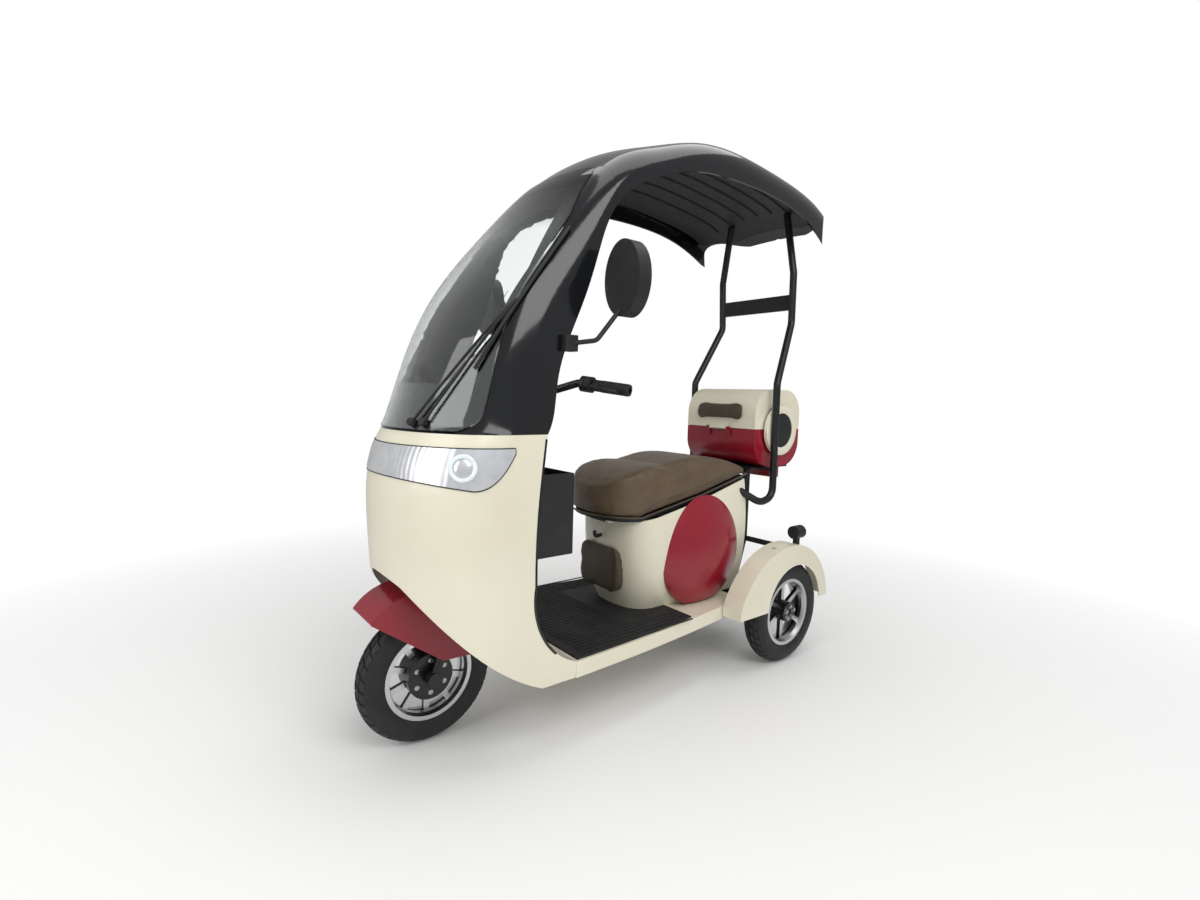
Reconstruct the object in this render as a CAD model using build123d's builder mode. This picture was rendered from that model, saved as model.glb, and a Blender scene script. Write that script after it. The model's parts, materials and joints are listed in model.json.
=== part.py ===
"""Covered electric tricycle scooter: one front wheel under a leg shield, two rear wheels, a windscreen and roof.

Frame: X forward, Y to the rider's left, Z up, origin on the ground under the middle of the length. Millimetres.
"""

import os
from math import atan2, cos, degrees, hypot, radians, sin, sqrt, tan

from build123d import *

# Running gear
WHEELBASE = 1240.0
REAR_TRACK = 536.0
TYRE_RADIUS = 185.0
TYRE_WIDTH = 76.0
RIM_RADIUS = 121.0
RIM_WIDTH = 62.0
HUB_RADIUS = 36.0
SPOKE_COUNT = 6
AXLE_RADIUS = 8.0
SPINDLE_RADIUS = 10.0
RUNNING_GAP = 0.05
STEER_RAKE = 20.0
FORK_OFFSET = 30.0
FORK_LEG_Y = 55.0
STEM_RADIUS = 15.0

# Bodywork
SHELL_TOP = 845.0
SHELL_WALL = 5.0
FLOOR_BOTTOM = 202.0
FLOOR_TOP = 246.0
MAT_THICKNESS = 6.0
ROOF_TAIL = 237.0
FRAME_WALL = 14.0
ROOF_WALL = 7.0
SCREEN_THICKNESS = 4.0
SEAM = 0.3
PANEL_WALL = 4.0

# Lengthwise places
LENGTH = TYRE_RADIUS + WHEELBASE + ROOF_TAIL
FRONT = LENGTH / 2 - TYRE_RADIUS
REAR = FRONT - WHEELBASE
WHEEL_Y = REAR_TRACK / 2
RAKE = radians(STEER_RAKE)

os.makedirs("parts", exist_ok=True)


def save(part, name):
    """Labels a finished piece and writes its STEP file."""
    part.label = name
    export_step(part, f"parts/{name}.step")


def arch(half_width, depth, corner, crown, back=0.0):
    """A D-shaped face: flat back on the local X axis, nose at local Y = depth, in lines and tangent arcs."""
    centre = depth - crown
    shoulder = centre + sqrt((crown - corner) ** 2 - (half_width - corner) ** 2)
    lean = atan2(half_width - corner, shoulder - centre)
    join = (crown * sin(lean), centre + crown * cos(lean))
    turn = (radians(90) + lean) / 2
    bulge = (half_width - corner + corner * sin(turn), shoulder + corner * cos(turn))
    with BuildSketch() as face:
        with BuildLine():
            Line((-half_width, back), (-half_width, shoulder))
            ThreePointArc((-half_width, shoulder), (-bulge[0], bulge[1]), (-join[0], join[1]))
            ThreePointArc((-join[0], join[1]), (0, depth), join)
            ThreePointArc(join, bulge, (half_width, shoulder))
            Line((half_width, shoulder), (half_width, back))
            Line((half_width, back), (-half_width, back))
        make_face()
    return face.sketch


def level(x, z):
    """A horizontal section plane whose local Y runs forward from x."""
    return Plane(origin=(x, 0, z), x_dir=(0, 1, 0), z_dir=(0, 0, -1))


def side_view(y=0.0):
    """The upright plane across the width at y: local X runs forward, local Y runs up."""
    return Plane(origin=(0, y, 0), x_dir=(1, 0, 0), z_dir=(0, -1, 0))


def front_view(x=0.0):
    """The upright plane across the length at x: local X runs to the left, local Y runs up."""
    return Plane(origin=(x, 0, 0), x_dir=(0, 1, 0), z_dir=(1, 0, 0))


# Front leg shield: horizontal D sections with the nose forward
SHELL_BACK = FRONT - 290
# height, nose ahead of the front axle, half width, corner radius, crown radius
SHELL_SECTIONS = (
    (FLOOR_BOTTOM, 60, 292, 190, 420),
    (330, 110, 298, 190, 400),
    (480, 128, 292, 185, 380),
    (640, 138, 286, 180, 360),
    (SHELL_TOP, 98, 276, 170, 345),
)


def shell_solid(grow, back=0.0):
    """The leg shield's outer form, grown evenly by a thickness."""
    with BuildPart() as solid:
        for height, nose, half_width, corner, crown in SHELL_SECTIONS:
            with BuildSketch(level(SHELL_BACK, height)):
                depth = FRONT + nose - SHELL_BACK
                add(arch(half_width + grow, depth + grow, corner + grow, crown + grow, back))
        loft()
    return solid.part


def arch_cut():
    """Side outline of the wheel arch, as a prism right across."""
    with BuildPart() as cut:
        with BuildSketch(side_view()):
            with BuildLine():
                ThreePointArc((FRONT - 195, FLOOR_BOTTOM - 4), (FRONT - 34, 300), (FRONT + 109, 466))
                Line((FRONT + 109, 466), (FRONT + 200, 560))
                Line((FRONT + 200, 560), (FRONT + 200, FLOOR_BOTTOM - 4))
                Line((FRONT + 200, FLOOR_BOTTOM - 4), (FRONT - 195, FLOOR_BOTTOM - 4))
            make_face()
        extrude(amount=400, both=True)
    return cut.part


def rear_trim():
    """Side outline of the space behind the leg shield's rear edge."""
    with BuildPart() as cut:
        with BuildSketch(side_view()):
            with BuildLine():
                ThreePointArc((FRONT - 198, SHELL_TOP + 4), (FRONT - 173, 660), (FRONT - 164, 470))
                ThreePointArc((FRONT - 164, 470), (FRONT - 196, 318), (FRONT - 295, FLOOR_TOP))
                Line((FRONT - 295, FLOOR_TOP), (FRONT - 320, FLOOR_TOP))
                Line((FRONT - 320, FLOOR_TOP), (FRONT - 320, SHELL_TOP + 4))
                Line((FRONT - 320, SHELL_TOP + 4), (FRONT - 198, SHELL_TOP + 4))
            make_face()
        extrude(amount=400, both=True)
    return cut.part


# Canopy: D sections that tip back from the cowl to the roof
# back x and height (pillar or roof edge), nose x and height, half width, corner radius, crown radius;
# x is ahead of the front axle
CANOPY_SECTIONS = (
    (-198, SHELL_TOP, 98, SHELL_TOP, 276, 170, 345),
    (-228, 1000, 20, 1062, 276, 150, 360),
    (-280, 1140, -82, 1250, 276, 120, 420),
    (-338, 1300, -228, 1425, 278, 95, 520),
    (-392, 1434, -385, 1580, 282, 85, 700),
    (-540, 1541, -560, 1672, 286, 80, 800),
    (-694, 1590, -720, 1722, 288, 80, 900),
    (-960, 1604, -975, 1740, 289, 85, 900),
    (-1150, 1585, -1190, 1718, 289, 90, 900),
    (-1300, 1535, -1385, 1668, 286, 95, 900),
    (-1365, 1500, -1485, 1598, 282, 95, 900),
)


def canopy_solid(grow, back=0.0, rows=CANOPY_SECTIONS):
    with BuildPart() as solid:
        for back_x, back_z, nose_x, nose_z, half_width, corner, crown in rows:
            depth = hypot(nose_x - back_x, nose_z - back_z)
            ahead = (nose_x - back_x) / depth
            rise = (nose_z - back_z) / depth
            section = Plane(origin=(FRONT + back_x, 0, back_z), x_dir=(0, 1, 0), z_dir=(rise, 0, -ahead))
            with BuildSketch(section):
                add(arch(half_width + grow, depth + grow, corner + grow, crown + grow, back))
        loft()
    return solid.part



def prism(outline, reach, keep_front=True):
    """A front-view outline (points to the left and up) with rounded corners, as a prism along X."""
    points, radius = outline
    start = 0.0 if keep_front else -reach
    with BuildPart() as solid:
        with BuildSketch(front_view(start)) as face:
            with BuildLine():
                Polyline(*points, close=True)
            make_face()
            fillet(face.vertices(), radius)
        extrude(amount=reach)
    return solid.part


def mirrored(points):
    """Right-hand points followed by their left-hand copies, as one closed outline."""
    return [(y, z) for y, z in points] + [(-y, z) for y, z in reversed(points)]



# Headlamp window in the leg shield, seen from the front
LAMP_OUTLINE = ((210, 814), (160, 744))
LAMP_ROUND = 18
LAMP_DEPTH = 30
LAMP_EDGE = 6
PROJECTOR_Y = 112
PROJECTOR_RADIUS = 30
LAMP_Z = 780


def lamp_prism(grow):
    outline = [(y + grow, z + (grow if z > LAMP_Z else -grow)) for y, z in LAMP_OUTLINE]
    return prism((mirrored(outline), LAMP_ROUND), FRONT + 300)


with BuildPart() as front_shell:
    add(shell_solid(0))
    add(shell_solid(-SHELL_WALL, back=-20), mode=Mode.SUBTRACT)
    add(arch_cut(), mode=Mode.SUBTRACT)
    add(rear_trim(), mode=Mode.SUBTRACT)
    add(lamp_prism(0), mode=Mode.SUBTRACT)
save(front_shell.part, "front_shell")

with BuildPart() as headlamp_lens:
    add(shell_solid(1))
    add(shell_solid(-2), mode=Mode.SUBTRACT)
    add(lamp_prism(-SEAM), mode=Mode.INTERSECT)
save(headlamp_lens.part, "headlamp_lens")

with BuildPart() as lamp_hollow:
    add(shell_solid(-3))
    add(shell_solid(-LAMP_DEPTH), mode=Mode.SUBTRACT)
    add(lamp_prism(-1), mode=Mode.INTERSECT)
with BuildPart() as headlamp_housing:
    add(shell_solid(-SHELL_WALL - SEAM))
    add(shell_solid(-LAMP_DEPTH - PANEL_WALL), mode=Mode.SUBTRACT)
    add(lamp_prism(LAMP_EDGE), mode=Mode.INTERSECT)
    add(lamp_hollow.part, mode=Mode.SUBTRACT)
save(headlamp_housing.part, "headlamp_housing")

with BuildPart() as headlamp_projectors:
    for side in (1, -1):
        with BuildSketch(front_view(FRONT - 100)):
            with Locations((side * PROJECTOR_Y, LAMP_Z)):
                Circle(PROJECTOR_RADIUS)
        extrude(amount=300)
    add(shell_solid(-9), mode=Mode.INTERSECT)
    add(shell_solid(SEAM - LAMP_DEPTH), mode=Mode.SUBTRACT)
save(headlamp_projectors.part, "headlamp_projectors")

# Windscreen surround, screen and roof from the canopy
SPLIT_X = FRONT - 388
OPENING = ((185, 1490), (228, 1250), (225, 1080), (170, 962))
SCREEN_OUTLINE = ((205, 1552), (240, 1400), (244, 1000), (244, SHELL_TOP + 6))
canopy = canopy_solid(0)
canopy_inner = canopy_solid(-FRAME_WALL, back=-30)
with BuildPart() as windscreen_surround:
    add(canopy)
    add(canopy_inner, mode=Mode.SUBTRACT)
    add(prism((mirrored(OPENING), 60), FRONT + 300), mode=Mode.SUBTRACT)
    split(bisect_by=Plane(origin=(SPLIT_X, 0, 0), z_dir=(1, 0, 0)), keep=Keep.TOP)
    split(bisect_by=Plane(origin=(0, 0, SHELL_TOP + SEAM), z_dir=(0, 0, 1)), keep=Keep.TOP)
save(windscreen_surround.part, "windscreen_surround")

with BuildPart() as windscreen:
    add(canopy_solid(SEAM + SCREEN_THICKNESS))
    add(canopy_solid(SEAM), mode=Mode.SUBTRACT)
    add(prism((mirrored(SCREEN_OUTLINE), 40), FRONT + 300), mode=Mode.INTERSECT)
    split(bisect_by=Plane(origin=(SPLIT_X + 6, 0, 0), z_dir=(1, 0, 0)), keep=Keep.TOP)
save(Part(windscreen.part.solids().sort_by(SortBy.VOLUME)[-1].wrapped), "windscreen")

ROOF_REAR = -LENGTH / 2
ROOF_HALF = 290
with BuildPart() as roof_plan:
    with BuildSketch(Plane.XY):
        with BuildLine():
            Line((SPLIT_X - SEAM, ROOF_HALF), (ROOF_REAR + 150, ROOF_HALF))
            ThreePointArc((ROOF_REAR + 150, ROOF_HALF), (ROOF_REAR + 42, 205), (ROOF_REAR, 0))
            ThreePointArc((ROOF_REAR, 0), (ROOF_REAR + 42, -205), (ROOF_REAR + 150, -ROOF_HALF))
            Line((ROOF_REAR + 150, -ROOF_HALF), (SPLIT_X - SEAM, -ROOF_HALF))
            Line((SPLIT_X - SEAM, -ROOF_HALF), (SPLIT_X - SEAM, ROOF_HALF))
        make_face()
    extrude(amount=2000)
with BuildPart() as roof_panel:
    add(canopy)
    add(canopy_solid(-ROOF_WALL, back=-30), mode=Mode.SUBTRACT)
    add(roof_plan.part, mode=Mode.INTERSECT)
save(roof_panel.part, "roof_panel")

LINER_INSET = 26
LINER_FRONT = SPLIT_X - 60
LINER_REAR = ROOF_REAR + 60
with BuildPart() as roof_liner:
    add(canopy_solid(-LINER_INSET))
    add(canopy_solid(-LINER_INSET - PANEL_WALL, back=-30), mode=Mode.SUBTRACT)
    with BuildSketch(Plane.XY):
        with Locations(((LINER_FRONT + LINER_REAR) / 2, 0)):
            RectangleRounded(LINER_FRONT - LINER_REAR, 2 * (ROOF_HALF - LINER_INSET - 8), 120)
    extrude(amount=2000, mode=Mode.INTERSECT)
save(roof_liner.part, "roof_liner")


def tube(points, radius, bend=0.0):
    """A round bar along straight runs with rounded bends."""
    with BuildPart() as bar:
        with BuildLine() as path:
            if bend > 0:
                FilletPolyline(*points, radius=bend)
            else:
                Polyline(*points)
        with BuildSketch(Plane(origin=path.line @ 0, z_dir=path.line % 0)):
            Circle(radius)
        sweep(transition=Transition.ROUND)
    return bar.part


def drum(x, y_from, y_to, z, radius):
    """A plain cylinder along the width."""
    with BuildPart() as solid:
        with BuildSketch(Plane(origin=(x, y_from, z), z_dir=(0, 1, 0))):
            Circle(radius)
        extrude(amount=y_to - y_from)
    return solid.part


def block(x_from, x_to, y_from, y_to, z_from, z_to):
    """A plain block between two corners."""
    with BuildPart() as solid:
        with BuildSketch(Plane(origin=((x_from + x_to) / 2, (y_from + y_to) / 2, z_from))):
            Rectangle(x_to - x_from, y_to - y_from)
        extrude(amount=z_to - z_from)
    return solid.part


def axis_point(height, ahead=0.0, side=0.0):
    """A point on the steering axis at a height, moved square to it by ahead and sideways by side."""
    back = (height - TYRE_RADIUS) * tan(RAKE)
    return (FRONT - FORK_OFFSET - back + ahead * cos(RAKE), side, height + ahead * sin(RAKE))


# Wheels: each tyre and rim turned about its axle
# name, axle x, centre y, hub bore radius, hub radius, spokes
WHEELS = (
    ("front", FRONT, 0.0, AXLE_RADIUS, 62.0, 10),
    ("rear_left", REAR, WHEEL_Y, SPINDLE_RADIUS, HUB_RADIUS, SPOKE_COUNT),
    ("rear_right", REAR, -WHEEL_Y, SPINDLE_RADIUS, HUB_RADIUS, SPOKE_COUNT),
)
HUB_HALF = 36.0
SPOKE_HALF = 7.0
BEAD = 6.0
for wheel, axle_x, axle_y, bore, hub, spokes in WHEELS:
    section = Plane(origin=(axle_x, axle_y, TYRE_RADIUS), x_dir=(0, 1, 0), z_dir=(1, 0, 0))
    axle_line = Axis((axle_x, axle_y, TYRE_RADIUS), (0, 1, 0))
    half = TYRE_WIDTH / 2
    with BuildPart() as tyre:
        with BuildSketch(section):
            with BuildLine():
                Line((-RIM_WIDTH / 2 - 1, RIM_RADIUS), (RIM_WIDTH / 2 + 1, RIM_RADIUS))
                ThreePointArc((RIM_WIDTH / 2 + 1, RIM_RADIUS), (half, 148), (half - 8, 172))
                ThreePointArc((half - 8, 172), (0, TYRE_RADIUS), (8 - half, 172))
                ThreePointArc((8 - half, 172), (-half, 148), (-RIM_WIDTH / 2 - 1, RIM_RADIUS))
            make_face()
        revolve(axis=axle_line)
    save(tyre.part, f"{wheel}_tyre")
    with BuildPart() as rim:
        with BuildSketch(section):
            Polygon(
                (-RIM_WIDTH / 2, RIM_RADIUS - SEAM),
                (RIM_WIDTH / 2, RIM_RADIUS - SEAM),
                (RIM_WIDTH / 2, RIM_RADIUS - 12),
                (RIM_WIDTH / 2 - 12, RIM_RADIUS - 17),
                (12 - RIM_WIDTH / 2, RIM_RADIUS - 17),
                (-RIM_WIDTH / 2, RIM_RADIUS - 12),
                align=None,
            )
        revolve(axis=axle_line)
        with BuildSketch(Plane(origin=(axle_x, axle_y - HUB_HALF, TYRE_RADIUS), z_dir=(0, 1, 0))):
            Circle(hub)
        extrude(amount=2 * HUB_HALF)
        with BuildSketch(Plane(origin=(axle_x, axle_y - SPOKE_HALF, TYRE_RADIUS), z_dir=(0, 1, 0))):
            with PolarLocations((hub + RIM_RADIUS - 18) / 2, spokes):
                Rectangle(RIM_RADIUS - 10 - hub, 16)
        extrude(amount=2 * SPOKE_HALF)
        with BuildSketch(Plane(origin=(axle_x, axle_y - HUB_HALF - 1, TYRE_RADIUS), z_dir=(0, 1, 0))):
            Circle(bore + RUNNING_GAP)
        extrude(amount=2 * HUB_HALF + 2, mode=Mode.SUBTRACT)
    save(rim.part, f"{wheel}_rim")

# Fork: raked legs with a wheel axle, a yoke over the fender and the steering stem
STEER_UP = (-sin(RAKE), 0, cos(RAKE))
YOKE_HEIGHT = 442.0
STEM_TOP = 905.0
LEG_RADIUS = 12.0
with BuildPart() as fork:
    for side in (1, -1):
        with BuildSketch(Plane(origin=(FRONT, side * FORK_LEG_Y, TYRE_RADIUS), x_dir=(0, 1, 0), z_dir=STEER_UP)):
            Circle(LEG_RADIUS)
        extrude(amount=(YOKE_HEIGHT - TYRE_RADIUS) / cos(RAKE) + 12)
        add(drum(FRONT, side * FORK_LEG_Y - 14, side * FORK_LEG_Y + 14, TYRE_RADIUS, 20))
    add(drum(FRONT, -FORK_LEG_Y, FORK_LEG_Y, TYRE_RADIUS, AXLE_RADIUS))
    with BuildSketch(Plane(origin=axis_point(YOKE_HEIGHT, 14), x_dir=(0, 1, 0), z_dir=STEER_UP)):
        RectangleRounded(2 * FORK_LEG_Y + 44, 74, 18)
    extrude(amount=26)
    with BuildSketch(Plane(origin=axis_point(YOKE_HEIGHT + 5), x_dir=(0, 1, 0), z_dir=STEER_UP)):
        Circle(STEM_RADIUS)
    extrude(amount=(STEM_TOP - YOKE_HEIGHT - 5) / cos(RAKE))
save(fork.part, "fork")

# Front fender: a beaked hood over the wheel, carried by the fork
FENDER_WALL = 3.0
FENDER_HALF = FORK_LEG_Y + LEG_RADIUS + SEAM + FENDER_WALL


def fender_hood(inset):
    """The hood's solid form: a side outline across its width; the inner one runs out below and behind."""
    drop = 8 * inset
    back = 4 * inset
    with BuildPart() as hood:
        with BuildSketch(side_view()):
            with BuildLine():
                crown = (FRONT - 25, 411 - inset)
                heel = (FRONT - 150 - back, 330 - inset - 0.65 * back)
                beak = (FRONT + 168, 376 - inset)
                ThreePointArc(beak, (FRONT + 100, 425 - inset), crown)
                Polyline(
                    crown,
                    heel,
                    (FRONT - 130 - back, 232 - drop),
                    (FRONT - 20, 236 - drop),
                    (FRONT + 168, 372 - drop),
                    beak,
                )
            make_face()
        extrude(amount=FENDER_HALF - inset, both=True)
    return hood.part


with BuildPart() as front_fender:
    add(fender_hood(0))
    add(fender_hood(FENDER_WALL), mode=Mode.SUBTRACT)
    for side in (1, -1):
        with BuildSketch(Plane(origin=(FRONT, side * FORK_LEG_Y, TYRE_RADIUS), x_dir=(0, 1, 0), z_dir=STEER_UP)):
            Circle(LEG_RADIUS + SEAM)
        extrude(amount=300, mode=Mode.SUBTRACT)
save(front_fender.part, "front_fender")

# Handlebar, grips and brake levers
BAR_RADIUS = 11.0
BAR_BORE = 8.5
BAR_BORE_DEPTH = 60.0
BAR_BEND = 40.0
CLAMP = axis_point(925)
GRIP_IN = (FRONT - 375, 158, 978)
GRIP_OUT = (FRONT - 441, 300, 960)
BAR_RISE = (FRONT - 312, 72, 945)
grip_run = [GRIP_OUT[n] - GRIP_IN[n] for n in range(3)]
grip_length = hypot(hypot(grip_run[0], grip_run[1]), grip_run[2])


def grip_axis(side):
    """Direction of a grip, outward from the middle."""
    return (grip_run[0], side * grip_run[1], grip_run[2])


with BuildPart() as handlebar:
    for side in (1, -1):
        path = [(CLAMP[0], 0, CLAMP[2] + 4)]
        path += [(x, side * y, z) for x, y, z in (BAR_RISE, GRIP_IN, GRIP_OUT)]
        add(tube(path, BAR_RADIUS, BAR_BEND))
        with BuildSketch(Plane(origin=(GRIP_OUT[0], side * GRIP_OUT[1], GRIP_OUT[2]), z_dir=grip_axis(side))):
            Circle(BAR_BORE)
        extrude(amount=-BAR_BORE_DEPTH, mode=Mode.SUBTRACT)
    add(tube((axis_point(STEM_TOP + SEAM), axis_point(950)), 24))
save(handlebar.part, "handlebar")
with BuildPart() as grips:
    for side in (1, -1):
        along = Plane(origin=(GRIP_IN[0], side * GRIP_IN[1], GRIP_IN[2]), z_dir=grip_axis(side))
        with BuildSketch(along.offset(50)):
            Circle(16)
            Circle(BAR_RADIUS + SEAM, mode=Mode.SUBTRACT)
        extrude(amount=grip_length - 50)
save(grips.part, "grips")

with BuildPart() as hand_controls:
    for side in (1, -1):
        along = Plane(origin=(GRIP_IN[0], side * GRIP_IN[1], GRIP_IN[2]), z_dir=grip_axis(side))
        with BuildSketch(along.offset(12)):
            Circle(22)
        extrude(amount=34)
        root = (GRIP_IN[0] - 6, side * (GRIP_IN[1] + 24), GRIP_IN[2] - 2)
        pivot = (GRIP_IN[0] + 26, side * (GRIP_IN[1] + 34), GRIP_IN[2] - 3)
        tip = (GRIP_OUT[0] + 42, side * (GRIP_OUT[1] - 4), GRIP_OUT[2] - 4)
        add(tube((root, pivot, tip), 5, 12))
        with BuildSketch(along):
            Circle(BAR_RADIUS + SEAM)
        extrude(amount=grip_length, mode=Mode.SUBTRACT)
save(hand_controls.part, "hand_controls")

# Floor: cream tray with the sill as its rim, and a ribbed mat on top
TRAY_FRONT = SHELL_BACK - SEAM
TRAY_REAR = FRONT - 1075


def floor_outline(inset):
    with BuildSketch() as face:
        with BuildLine():
            near = ((TRAY_FRONT - inset, 296 - inset), (FRONT - 590, 277 - inset), (TRAY_REAR + inset, 214 - inset))
            far = [(x, -y) for x, y in reversed(near)]
            ThreePointArc(*near)
            Line(near[2], far[0])
            ThreePointArc(*far)
            Line(far[2], near[0])
        make_face()
    return face.sketch


with BuildPart() as floor_tray:
    with BuildSketch(Plane.XY.offset(FLOOR_BOTTOM)):
        add(floor_outline(0))
    extrude(amount=FLOOR_TOP - FLOOR_BOTTOM)
    with BuildSketch(Plane.XY.offset(FLOOR_BOTTOM)):
        add(floor_outline(PANEL_WALL))
    extrude(amount=FLOOR_TOP - FLOOR_BOTTOM - PANEL_WALL, mode=Mode.SUBTRACT)
    add(block(TRAY_REAR - 5, TRAY_FRONT + 5, -200, 200, 0, FLOOR_TOP - PANEL_WALL), mode=Mode.SUBTRACT)
save(floor_tray.part, "floor_tray")

MAT_INSET = 8.0
MAT_REAR = FRONT - 780
with BuildPart() as mat_area:
    with BuildSketch(Plane.XY.offset(FLOOR_TOP)):
        add(floor_outline(MAT_INSET))
    extrude(amount=MAT_THICKNESS)

# Seat bucket: horizontal D sections, open on top, cut to the seat's slope
BUCKET_BACK = FRONT - 1140
# height, nose ahead of the front axle, half width, corner radius, crown radius
BUCKET_SECTIONS = (
    (FLOOR_TOP, -650, 122, 80, 260),
    (380, -612, 160, 100, 300),
    (500, -600, 168, 105, 300),
    (680, -600, 150, 95, 280),
)


def bucket_solid(grow):
    with BuildPart() as solid:
        for height, nose, half_width, corner, crown in BUCKET_SECTIONS:
            with BuildSketch(level(BUCKET_BACK - grow, height)):
                depth = FRONT + nose - BUCKET_BACK + grow
                add(arch(half_width + grow, depth + grow, corner + grow, crown + grow))
        loft()
    return solid.part


SEAT_LINE = ((FRONT - 500, 556), (FRONT - 640, 552), (FRONT - 908, 602), (FRONT - 1180, 670))


def above_seat_line(lift):
    """Everything above the seat's lower edge, as a prism right across."""
    with BuildPart() as solid:
        with BuildSketch(side_view()):
            with BuildLine():
                ends = ((SEAT_LINE[3][0], 900), (SEAT_LINE[0][0], 900))
                Polyline(*[(x, z + lift) for x, z in SEAT_LINE], *ends, close=True)
            make_face()
        extrude(amount=400, both=True)
    return solid.part


# Seat hinge: two lugs with a pin on the bucket's nose, and a barrel under the seat
SEAT_PIVOT_X = FRONT - 590
SEAT_PIVOT_Z = 545.0
SEAT_PIN = 4.0
SEAT_LUG = 6.5
BARREL_HALF = 40.0
LUG_WIDTH = 14.0
LUG_GAP = 1.0
with BuildPart() as seat_bucket:
    add(bucket_solid(0))
    add(bucket_solid(-PANEL_WALL), mode=Mode.SUBTRACT)
    add(above_seat_line(0), mode=Mode.SUBTRACT)
    lug_in = BARREL_HALF + LUG_GAP
    for side in (1, -1):
        ends = sorted((side * lug_in, side * (lug_in + LUG_WIDTH)))
        add(drum(SEAT_PIVOT_X, ends[0], ends[1], SEAT_PIVOT_Z, SEAT_LUG))
        back = SEAT_PIVOT_X - 16.5
        add(block(back, SEAT_PIVOT_X, ends[0], ends[1], SEAT_PIVOT_Z - SEAT_LUG, SEAT_PIVOT_Z + SEAT_LUG))
    add(drum(SEAT_PIVOT_X, -lug_in, lug_in, SEAT_PIVOT_Z, SEAT_PIN))
save(seat_bucket.part, "seat_bucket")

with BuildPart() as floor_mat:
    add(mat_area.part)
    add(bucket_solid(SEAM), mode=Mode.SUBTRACT)
    split(bisect_by=Plane(origin=(MAT_REAR, 0, 0), z_dir=(1, 0, 0)), keep=Keep.TOP)
save(floor_mat.part, "floor_mat")

with BuildPart() as battery:
    add(block(FRONT - 1080, FRONT - 700, -100, 100, FLOOR_TOP, 440))
save(battery.part, "battery")

# Round side covers on the bucket
DISC_X = FRONT - 920
DISC_Z = 428.0
DISC_RADIUS = 190.0
DISC_CROWN = 206.0
for side, name in ((1, "left"), (-1, "right")):
    with BuildPart() as side_cover:
        with BuildSketch(Plane(origin=(DISC_X, 0, DISC_Z), x_dir=(0, side, 0), z_dir=(side, 0, 0))):
            with BuildLine():
                Line((100, 0), (DISC_CROWN, 0))
                ThreePointArc((DISC_CROWN, 0), (196, 100), (160, DISC_RADIUS))
                Line((160, DISC_RADIUS), (100, DISC_RADIUS))
                Line((100, DISC_RADIUS), (100, 0))
            make_face()
        revolve(axis=Axis((DISC_X, 0, DISC_Z), (0, 1, 0)))
        add(bucket_solid(SEAM), mode=Mode.SUBTRACT)
        split(bisect_by=Plane(origin=(0, 0, FLOOR_TOP + MAT_THICKNESS + 1), z_dir=(0, 0, 1)), keep=Keep.TOP)
    cover = side_cover.part.solids().sort_by(SortBy.VOLUME)[-1]
    save(Part(cover.wrapped), f"side_cover_{name}")

# Calf pad on the bucket's front
PAD_FRONT = FRONT - 590
with BuildPart() as calf_pad:
    with BuildSketch(front_view(PAD_FRONT - 40)):
        with Locations((0, 388)):
            RectangleRounded(200, 160, 42)
    extrude(amount=40)
    add(bucket_solid(SEAM), mode=Mode.SUBTRACT)
save(calf_pad.part, "calf_pad")

with BuildPart() as bag_hook:
    add(tube(((FRONT - 610, 0, 490), (FRONT - 575, 0, 485), (FRONT - 573, 0, 505)), 6, 10))
    add(bucket_solid(SEAM), mode=Mode.SUBTRACT)
save(bag_hook.part, "bag_hook")

# Seat: a pan and a cushion that tip forward about the nose
SEAT_HALF = 156.0
PAN = 12.0
with BuildPart() as seat_plan:
    with BuildSketch(level(FRONT - 1148, 950)):
        add(arch(SEAT_HALF, 622, 110, 230))
    extrude(amount=500)
with BuildPart() as seat_base:
    with BuildSketch(side_view()):
        with BuildLine():
            top = [(x, z + 1 + PAN) for x, z in reversed(SEAT_LINE)]
            Polyline(*[(x, z + 1) for x, z in SEAT_LINE], *top, close=True)
        make_face()
    extrude(amount=SEAT_HALF - 10, both=True)
    with BuildSketch(level(FRONT - 1140, 950)):
        add(arch(SEAT_HALF - 10, 596, 100, 220))
    extrude(amount=500, mode=Mode.INTERSECT)
    add(drum(SEAT_PIVOT_X, -BARREL_HALF, BARREL_HALF, SEAT_PIVOT_Z, SEAT_LUG))
    web = (SEAT_PIVOT_X - SEAT_LUG, SEAT_PIVOT_X + SEAT_LUG)
    add(block(web[0], web[1], -BARREL_HALF, BARREL_HALF, SEAT_PIVOT_Z, SEAT_LINE[1][1] + PAN))
    add(drum(SEAT_PIVOT_X, -100, 100, SEAT_PIVOT_Z, SEAT_PIN + RUNNING_GAP), mode=Mode.SUBTRACT)
save(seat_base.part, "seat_base")

with BuildPart() as seat_cushion:
    add(seat_plan.part)
    with BuildSketch(side_view()):
        with BuildLine():
            Polyline(*[(x, z + 1 + PAN + SEAM) for x, z in SEAT_LINE])
            start = (SEAT_LINE[3][0], SEAT_LINE[3][1] + 1 + PAN + SEAM)
            ThreePointArc(start, (FRONT - 1000, 738), (FRONT - 760, 722))
            ThreePointArc((FRONT - 760, 722), (FRONT - 600, 702), (FRONT - 500, 640))
            Line((FRONT - 500, 640), (SEAT_LINE[0][0], SEAT_LINE[0][1] + 1 + PAN + SEAM))
        make_face()
    extrude(amount=400, both=True, mode=Mode.INTERSECT)
save(seat_cushion.part, "seat_cushion")

# Inner leg shield: a bent panel between the shell's rear edges, bulging back round the steering stem
PANEL_THICK = 6.0
# distance ahead of the front axle, half width
PANEL_BENDS = ((-172, 270), (-215, 205), (-262, 130), (-300, 50))


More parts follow.
